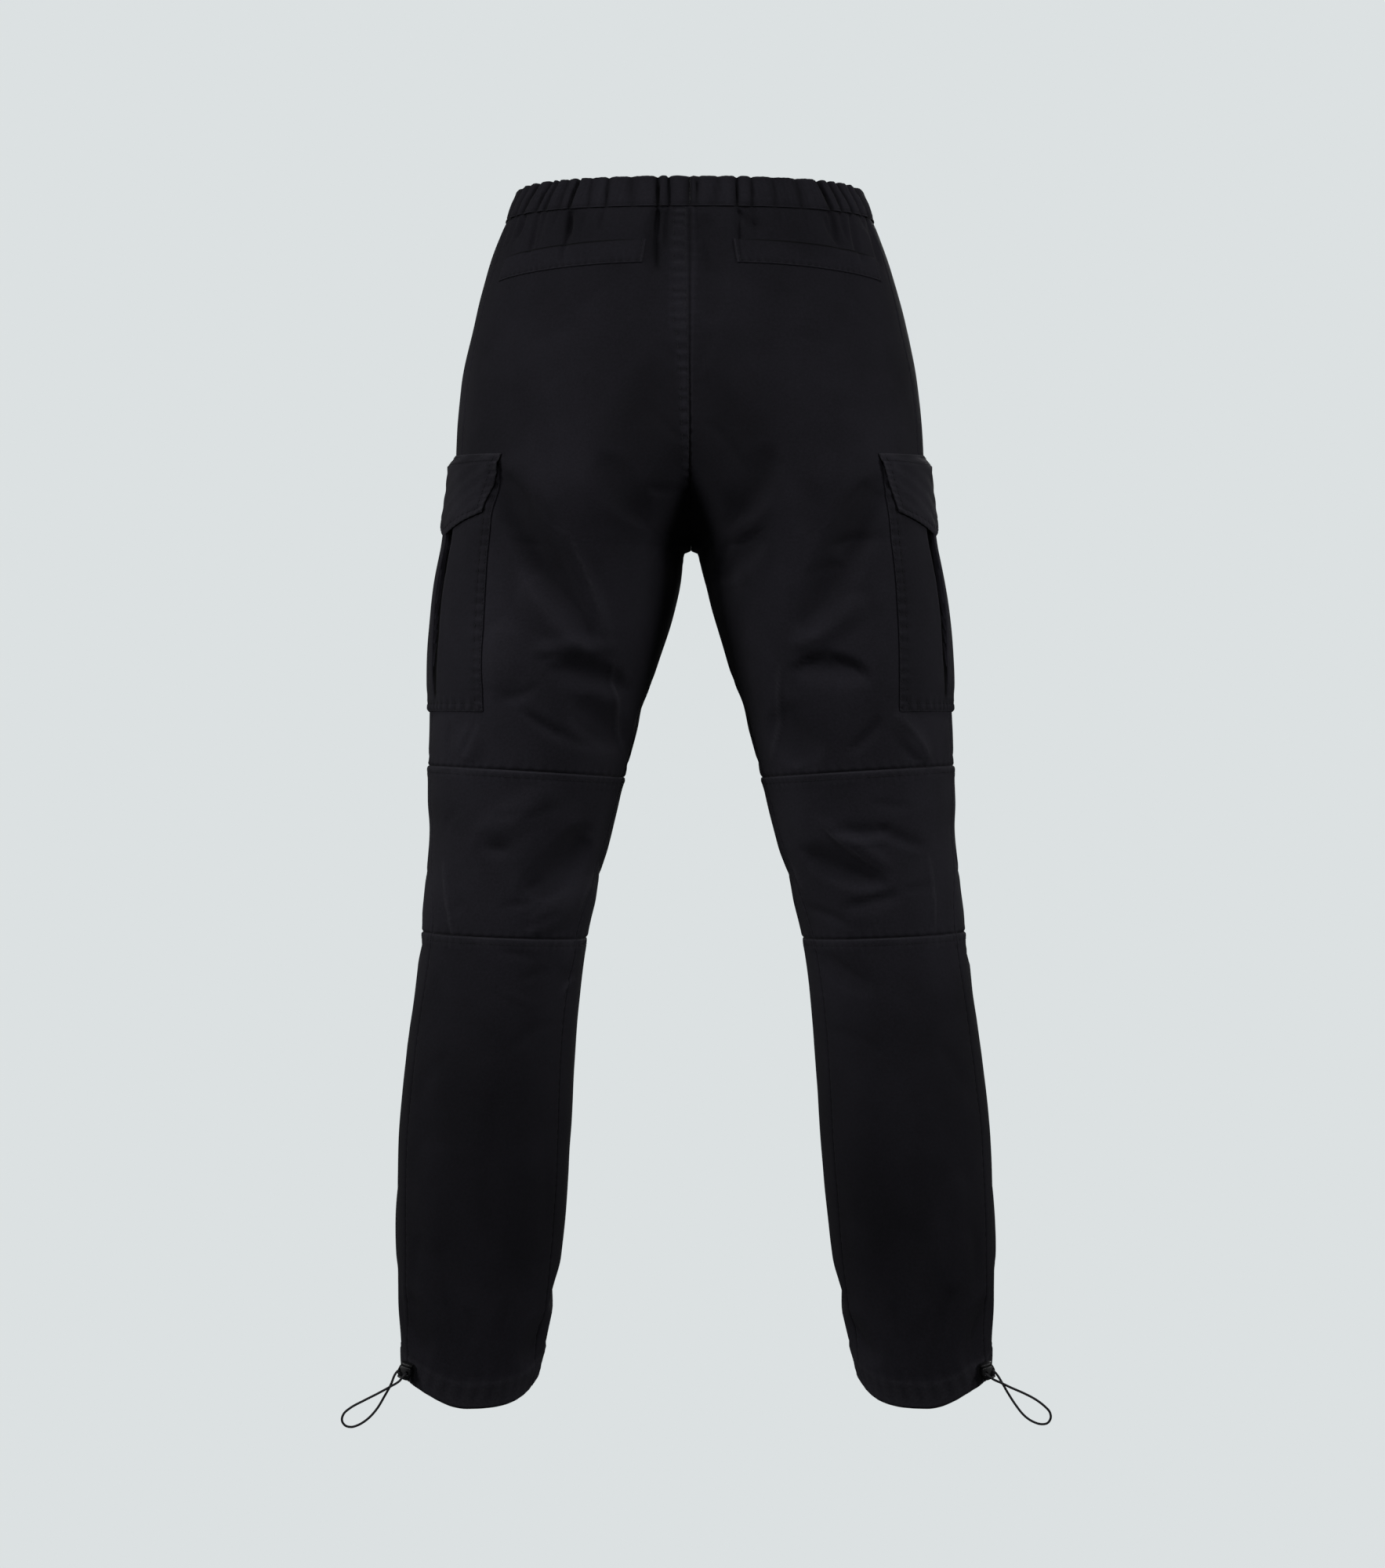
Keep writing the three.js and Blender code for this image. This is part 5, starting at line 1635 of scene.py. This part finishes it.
@dataclass
class CargoFlap(Piece):
    """The flap: sewn on above the pocket, doubled, with a shallow point at its middle."""

    pocket: CargoPocket
    top: float = -230.0
    half: float = 64.0
    corner_half: float = 57.0
    side_drop: float = 48.0
    middle_drop: float = 68.0
    usual_drop: float = 62.0
    tilt: float = 3.0
    thick: float = 1.7
    edge_inset: float = 6.2
    head_insets: tuple[float, float] = (1.3, 7.0)
    stitch_sink: float = 0.25
    cut: tuple[float, float] = (0.15, 0.155)
    shown: float = 0.36

    def place(self, share: np.ndarray, fall: np.ndarray, out: np.ndarray | float) -> np.ndarray:
        """Places on the flap.

        Args:
            share: How far from its middle to an edge, from -1 to 1.
            fall: How far down, from 0 to 1.
            out: How far outside its inner face.

        Returns:
            Points in millimetres.
        """
        s = share * (self.half + (self.corner_half - self.half) * fall)
        drop = self.middle_drop + (self.side_drop - self.middle_drop) * np.abs(share)
        z = self.top + self.tilt * (1 - share) - drop * fall
        stand = np.maximum(self.pocket.lift(s, z, pleat=False), 0.6)
        over = smoothstep(drop * fall, 1.5, 9.0) * (self.pocket.thick + 1.1 + stand)
        return self.pocket.place(s, z, over + out)

    def build(self) -> bpy.types.Object:
        """Builds the flap and its stitches."""
        width = 2 * self.half
        share = 1 - 2 * stations(width, 2.4, EDGE_STEPS) / width
        fall = stations(self.usual_drop, 2.2, EDGE_STEPS) / self.usual_drop
        f, h = np.meshgrid(fall, share, indexing="ij")
        foot, head = (1 - f) * self.usual_drop, f * self.usual_drop
        sides = (1 - np.abs(h)) * self.half
        edge = np.minimum(foot, sides)
        near, far = self.head_insets
        groove = 0.8 * bell(edge - self.edge_inset, 0.8)
        groove = groove + 0.5 * bell(head - near, 0.6) + 0.9 * bell(head - far, 0.8)
        wave = np.sin(2 * np.pi * np.where(foot < sides, h * self.half, head) / 7.1)
        pucker = 0.5 * wave * bell(np.maximum(edge - 3, 0), 4)
        pucker += 0.5 * np.sin(h * 9 + head / 6) * np.sin(head / 4.6 + 2 * h) * smoothstep(edge, 2, 9)
        rim = 1.0 * bell(edge, 0.9) + 0.9 * bell(head, 0.8)
        outer = self.place(h, f, self.thick - rim - groove + pucker)
        inner = self.place(h, f, np.zeros_like(f))
        # Grooves are darkened as painted shade; the edges and pucker crests are rubbed paler.
        wear_and_shade = 0.2 + 0.8 * bell(np.minimum(edge, head) - 0.8, 1.1) + 0.4 * (pucker - groove)
        name = self.named("cargo_flap")
        made = self.shop.cloth(name, self.side, outer, inner, wear_and_shade)
        sewn = self.shop.sew(name, self.stitch_lines())
        return made

    def stitch_lines(self) -> list[np.ndarray]:
        """Returns the stitches round the flap's free edges and along its head."""
        raised = self.thick - self.stitch_sink
        limit, lowest = 1 - self.edge_inset / self.half, 1 - self.edge_inset / self.usual_drop
        fall = np.linspace(0.04, lowest, 24)
        lines = [self.place(np.full_like(fall, end), fall, raised) for end in (limit, -limit)]
        run = np.linspace(limit, -limit, 60)
        lines.append(self.place(run, np.full_like(run, lowest), raised))
        whole = np.linspace(0.985, -0.985, 64)
        for inset in self.head_insets:
            lines.append(self.place(whole, np.full_like(whole, inset / self.usual_drop), raised))
        return lines


def tube_faces(rings: int, around: int) -> list[tuple]:
    """Joins rings of points into a closed tube.

    Args:
        rings: How many rings there are. Two end points come after the last.
        around: How many points a ring has.

    Returns:
        The tube's faces.
    """
    faces = []
    for k in range(rings - 1):
        for i in range(around):
            j = (i + 1) % around
            low, high = k * around, (k + 1) * around
            faces.append((low + i, low + j, high + j, high + i))
    last, foot = (rings - 1) * around, rings * around
    for i in range(around):
        j = (i + 1) % around
        faces.append((j, i, foot))
        faces.append((last + i, last + j, foot + 1))
    return faces


@dataclass
class CordLock(Piece):
    """The lock on a hem cord: a barrel with a foot, two holes and a push button."""

    width: float = 12.4
    height: float = 14.0
    depth: float = 9.0
    hole_radius: float = 1.4
    hole_spread: float = 3.7
    hole_drop: float = 0.6
    hole_sides: int = 28
    cap: float = 2.6
    z: float = -982.0
    angle: float = 143.0
    turn: float = 25.0
    tip: float = -18.0
    out: float = 0.6
    around: int = 40

    def seat(self) -> Matrix:
        """Returns the lock's place: its middle and its axes, in millimetres."""
        base = self.leg.base(np.array([self.z]), np.array([self.angle]))
        broad = [fold for fold in self.leg.folds if not fold.sharp]
        lifted = float(self.leg.fold_height(base, broad)[0])
        here = {name: float(value[0]) for name, value in base.items()}
        sign = self.side.value
        outward = Vector((sign * here["normal_x"], here["normal_y"], 0))
        surface = Vector((here["across"], here["y"], here["height"]))
        surface += outward * (self.out + lifted)
        turned = Matrix.Rotation(sign * math.radians(self.turn), 3, "Z")
        axes = turned @ Matrix.Rotation(sign * math.radians(self.tip), 3, "Y")
        half = (self.width / 2, self.depth / 2, self.height / 2)
        reach = sum(abs(axes.col[k].dot(outward)) * half[k] for k in range(3))
        return Matrix.Translation(surface + outward * reach * 0.9) @ axes.to_4x4()

    def rounded(self, name: str, levels: list[tuple[float, float, float]],
                power: float = 3.0) -> bpy.types.Object:
        """Makes a closed body of rounded level sections.

        Args:
            name: The object's name.
            levels: Height, half width and half depth of each section, from the foot up.
            power: How square the sections are.

        Returns:
            The object.
        """
        turn = np.linspace(0, 2 * np.pi, self.around, endpoint=False)
        c, s = signed_power(np.cos(turn), 2 / power), signed_power(np.sin(turn), 2 / power)
        rings = [np.stack([w * c, d * s, np.full(self.around, z)], axis=-1) for z, w, d in levels]
        points = np.concatenate([*rings, [[0, 0, levels[0][0]], [0, 0, levels[-1][0]]]])
        seat = np.array(self.seat())
        points = points @ seat[:3, :3].T + seat[:3, 3]
        widest = max(w for _, w, _ in levels)
        wear_and_shade = [0.8 * float(w > widest * 0.97) for _, w, _ in levels for _ in range(self.around)]
        return make_object(name, points, tube_faces(len(levels), self.around),
                           self.shop.materials.plastic, wear_and_shade=np.array(wear_and_shade + [0.0, 0.0]))

    def bore(self, body: bpy.types.Object) -> None:
        """Cuts the two cord holes through the barrel."""
        matrix = self.seat()
        for sign in (1, -1):
            bpy.ops.mesh.primitive_cylinder_add(
                vertices=self.hole_sides, radius=self.hole_radius * MM, depth=self.depth * 2 * MM)
            cutter = bpy.context.object
            place = matrix @ Matrix.Translation((sign * self.hole_spread, 0, -self.hole_drop))
            place = place @ Matrix.Rotation(math.pi / 2, 4, "X")
            cutter.matrix_world = Matrix.LocRotScale(
                place.translation * MM, place.to_quaternion(), None)
            bpy.context.view_layer.update()
            cut = body.modifiers.new("bore", "BOOLEAN")
            cut.object = cutter
            cut.operation = "DIFFERENCE"
            graph = bpy.context.evaluated_depsgraph_get()
            mesh = bpy.data.meshes.new_from_object(body.evaluated_get(graph))
            body.modifiers.remove(cut)
            body.data = mesh
            bpy.data.objects.remove(cutter)

    def build(self) -> list[bpy.types.Object]:
        """Builds the barrel and the button."""
        w, d = self.width / 2, self.depth / 2
        low, high = -self.height / 2, self.height / 2 - self.cap - SEAM_GAP
        barrel = [
            (low, 0.7, 0.7), (low + 0.15, 0.79, 0.8), (low + 0.5, 0.83, 0.84),
            (low + 1.2, 0.83, 0.84), (low + 1.5, 0.8, 0.8), (low + 1.9, 0.78, 0.8),
            (low + 2.4, 0.86, 0.9), (low + 3.6, 0.95, 0.97), (-self.hole_drop, 1.0, 1.0),
            (high - 2.6, 0.95, 0.97), (high - 1.2, 0.88, 0.93), (high - 0.4, 0.84, 0.9),
            (high, 0.76, 0.8),
        ]
        base, top = self.height / 2 - self.cap, self.height / 2
        button = [
            (base, 0.5), (base + 0.02, 0.82), (base + 0.3, 0.9), (base + 1.3, 0.92),
            (base + 2.0, 0.88), (top - 0.2, 0.76), (top, 0.55),
        ]
        body = self.rounded(self.named("cord_lock"), [(z, w * a, d * b) for z, a, b in barrel])
        self.bore(body)
        self.shop.keep(body, "toggle_plastic", self.named("toggle_body"))
        cap = self.rounded(self.named("cord_lock_button"),
                           [(z, w * a, d * a) for z, a in button], power=2.4)
        self.shop.keep(cap, "toggle_plastic", self.named("toggle_button"))
        return [body, cap]


@dataclass
class HemCord(Piece):
    """The elastic cord's free loop, from one hole of the lock round to the other."""

    sides: int = 14
    steps: int = 8

    def path(self) -> np.ndarray:
        """Returns the loop's centreline: a centripetal curve through its route."""
        route = [Vector(p) for p in CORD_ROUTES[self.side.word]]
        ends = [2 * route[0] - route[1], *route, 2 * route[-1] - route[-2]]
        found = []
        for k in range(1, len(ends) - 2):
            p = ends[k - 1:k + 3]
            knots = [0.0]
            for a, b in zip(p, p[1:]):
                knots.append(knots[-1] + math.sqrt((b - a).length))
            for i in range(self.steps):
                t = knots[1] + (knots[2] - knots[1]) * i / self.steps
                found.append(self.blend(p, knots, t))
        found.append(route[-1])
        return np.array([tuple(v) for v in found])

    @staticmethod
    def blend(p: list[Vector], knots: list[float], t: float) -> Vector:
        """Returns a point of the curve through four points at a knot value."""
        def mix(a: Vector, b: Vector, i: int, j: int) -> Vector:
            """Returns the straight blend of two points over two knots."""
            return a.lerp(b, (t - knots[i]) / (knots[j] - knots[i]))
        a1, a2, a3 = mix(p[0], p[1], 0, 1), mix(p[1], p[2], 1, 2), mix(p[2], p[3], 2, 3)
        b1, b2 = mix(a1, a2, 0, 2), mix(a2, a3, 1, 3)
        return mix(b1, b2, 1, 2)

    def build(self) -> bpy.types.Object:
        line = self.path()
        tangent = np.gradient(line, axis=0)
        tangent /= np.linalg.norm(tangent, axis=1, keepdims=True)
        across = np.array([0.0, 1.0, 0.0])
        around = np.linspace(0, 2 * np.pi, self.sides, endpoint=False)
        rings = []
        for point, along in zip(line, tangent):
            across = across - along * across.dot(along)
            across /= np.linalg.norm(across)
            other = np.cross(along, across)
            ring = np.cos(around)[:, None] * across + np.sin(around)[:, None] * other
            rings.append(point + ring * CORD_DIAMETER / 2)
        points = np.concatenate([*rings, line[:1], line[-1:]])
        run = np.concatenate([[0], np.cumsum(np.linalg.norm(np.diff(line, axis=0), axis=1))])
        girth = CORD_DIAMETER * math.pi
        uv = [(i / self.sides * girth * MM, r * MM) for r in run for i in range(self.sides)]
        uv = np.array([*uv, (0, 0), (0, run[-1] * MM)])
        name = self.named("hem_cord")
        made = make_object(name + "_braid", points, tube_faces(len(rings), self.sides),
                           self.shop.materials.braid, uv)
        self.shop.keep(made, "elastic_cord", name)
        return made


@dataclass
class Studio:
    """The camera, a plain pale floor that runs up into a backdrop, and soft lights."""

    lens: float = 86.56
    distance: float = 3.2
    eye: tuple[float, float] = (0.0023, -0.501)
    backdrop: tuple = (0.716, 0.753, 0.761, 1)
    glow: float = 0.075

    def camera(self) -> None:
        """Places the camera level with the middle of the view."""
        data = bpy.data.cameras.new("camera")
        data.lens = self.lens
        made = add_object("camera", data)
        made.location = (self.eye[0], -self.distance, self.eye[1])
        made.rotation_euler = (math.pi / 2, 0, 0)
        bpy.context.scene.camera = made

    def floor(self) -> None:
        """Makes the floor and backdrop, one smooth sheet."""
        low, bend, back, height, half, steps = -1.35, 2.0, 4.5, 4.0, 9.0, 12
        profile = [(-half, low), (back - bend, low)]
        for k in range(1, steps + 1):
            turn = math.pi / 2 * k / steps
            profile.append((back - bend + bend * math.sin(turn), low + bend * (1 - math.cos(turn))))
        profile.append((back, height))
        points = np.array([(x, y, z) for y, z in profile for x in (-half, half)]) / MM
        faces = [(2 * k, 2 * k + 1, 2 * k + 3, 2 * k + 2) for k in range(len(profile) - 1)]
        material = bpy.data.materials.new("pale_paper")
        material.use_nodes = True
        tree = material.node_tree
        tree.nodes.remove(tree.nodes["Principled BSDF"])
        paper = feed(tree, tree.nodes.new("ShaderNodeEmission"), Color=self.backdrop)
        feed(tree, tree.nodes["Material Output"], Surface=paper.outputs["Emission"])
        made = make_object("floor", points, faces, material)
        made.visible_diffuse = False
        made.visible_glossy = False
        made.visible_shadow = False

    def light(self, name: str, place: tuple, aim: tuple, size: float, power: float,
              spread: float = 180.0) -> None:
        """Adds a soft square light.

        Args:
            name: Its name.
            place: Where it stands.
            aim: What it points at.
            size: Its side, in metres.
            power: Its power, in watts.
            spread: How wide its beam is, in degrees.
        """
        data = bpy.data.lights.new(name, "AREA")
        data.spread = math.radians(spread)
        data.size = size
        data.energy = power
        made = add_object(name, data)
        made.location = place
        made.rotation_euler = (Vector(aim) - Vector(place)).to_track_quat("-Z", "Y").to_euler()

    def build(self) -> None:
        """Sets up the whole studio."""
        self.camera()
        self.floor()
        scene = bpy.context.scene
        scene.view_settings.view_transform = "Standard"
        world = bpy.data.worlds.new("studio")
        world.use_nodes = True
        sky = world.node_tree.nodes["Background"]
        sky.inputs["Color"].default_value = self.backdrop
        sky.inputs["Strength"].default_value = self.glow
        scene.world = world
        self.light("left", (-2.2, -1.1, 0.2), (0, 0, -0.52), 0.7, 4.4, 60)
        self.light("right", (2.2, -1.1, 0.2), (0, 0, -0.52), 0.7, 4.0, 60)
        self.light("over", (-0.3, -2.2, 2.0), (0, 0, -0.6), 0.8, 38)
        self.light("front", (0.3, 3.2, 1.2), (0, 0, -0.4), 2.0, 60)


def leg_panels(shop: Workshop, side: Side) -> list[Panel]:
    """Returns the six panels of one leg, with the sizes that they are cut to."""
    cuts = {
        (Face.BACK, Part.UPPER): (0.36, 0.48),
        (Face.BACK, Part.KNEE): (0.25, 0.145),
        (Face.BACK, Part.LOWER): (0.21, 0.42),
        (Face.FRONT, Part.UPPER): (0.36, 0.47),
        (Face.FRONT, Part.KNEE): (0.29, 0.145),
        (Face.FRONT, Part.LOWER): (0.28, 0.40),
    }
    return [Panel(shop, side, face, part, cut) for (face, part), cut in cuts.items()]


def main() -> None:
    """Builds the trousers' visible pieces in order."""
    logging.basicConfig(level=logging.INFO, format="%(name)s: %(message)s")
    Studio().build()
    shop = Workshop.open()
    for side in Side:
        HemCord(shop, side).build()
    for side in Side:
        Waistband(shop, side).build()
        for panel in leg_panels(shop, side):
            panel.build()
        Welt(shop, side).build()
        pocket = CargoPocket(shop, side)
        pocket.build()
        CargoFlap(shop, side, pocket).build()
        CordLock(shop, side).build()


if __name__ == "__main__":
    main()
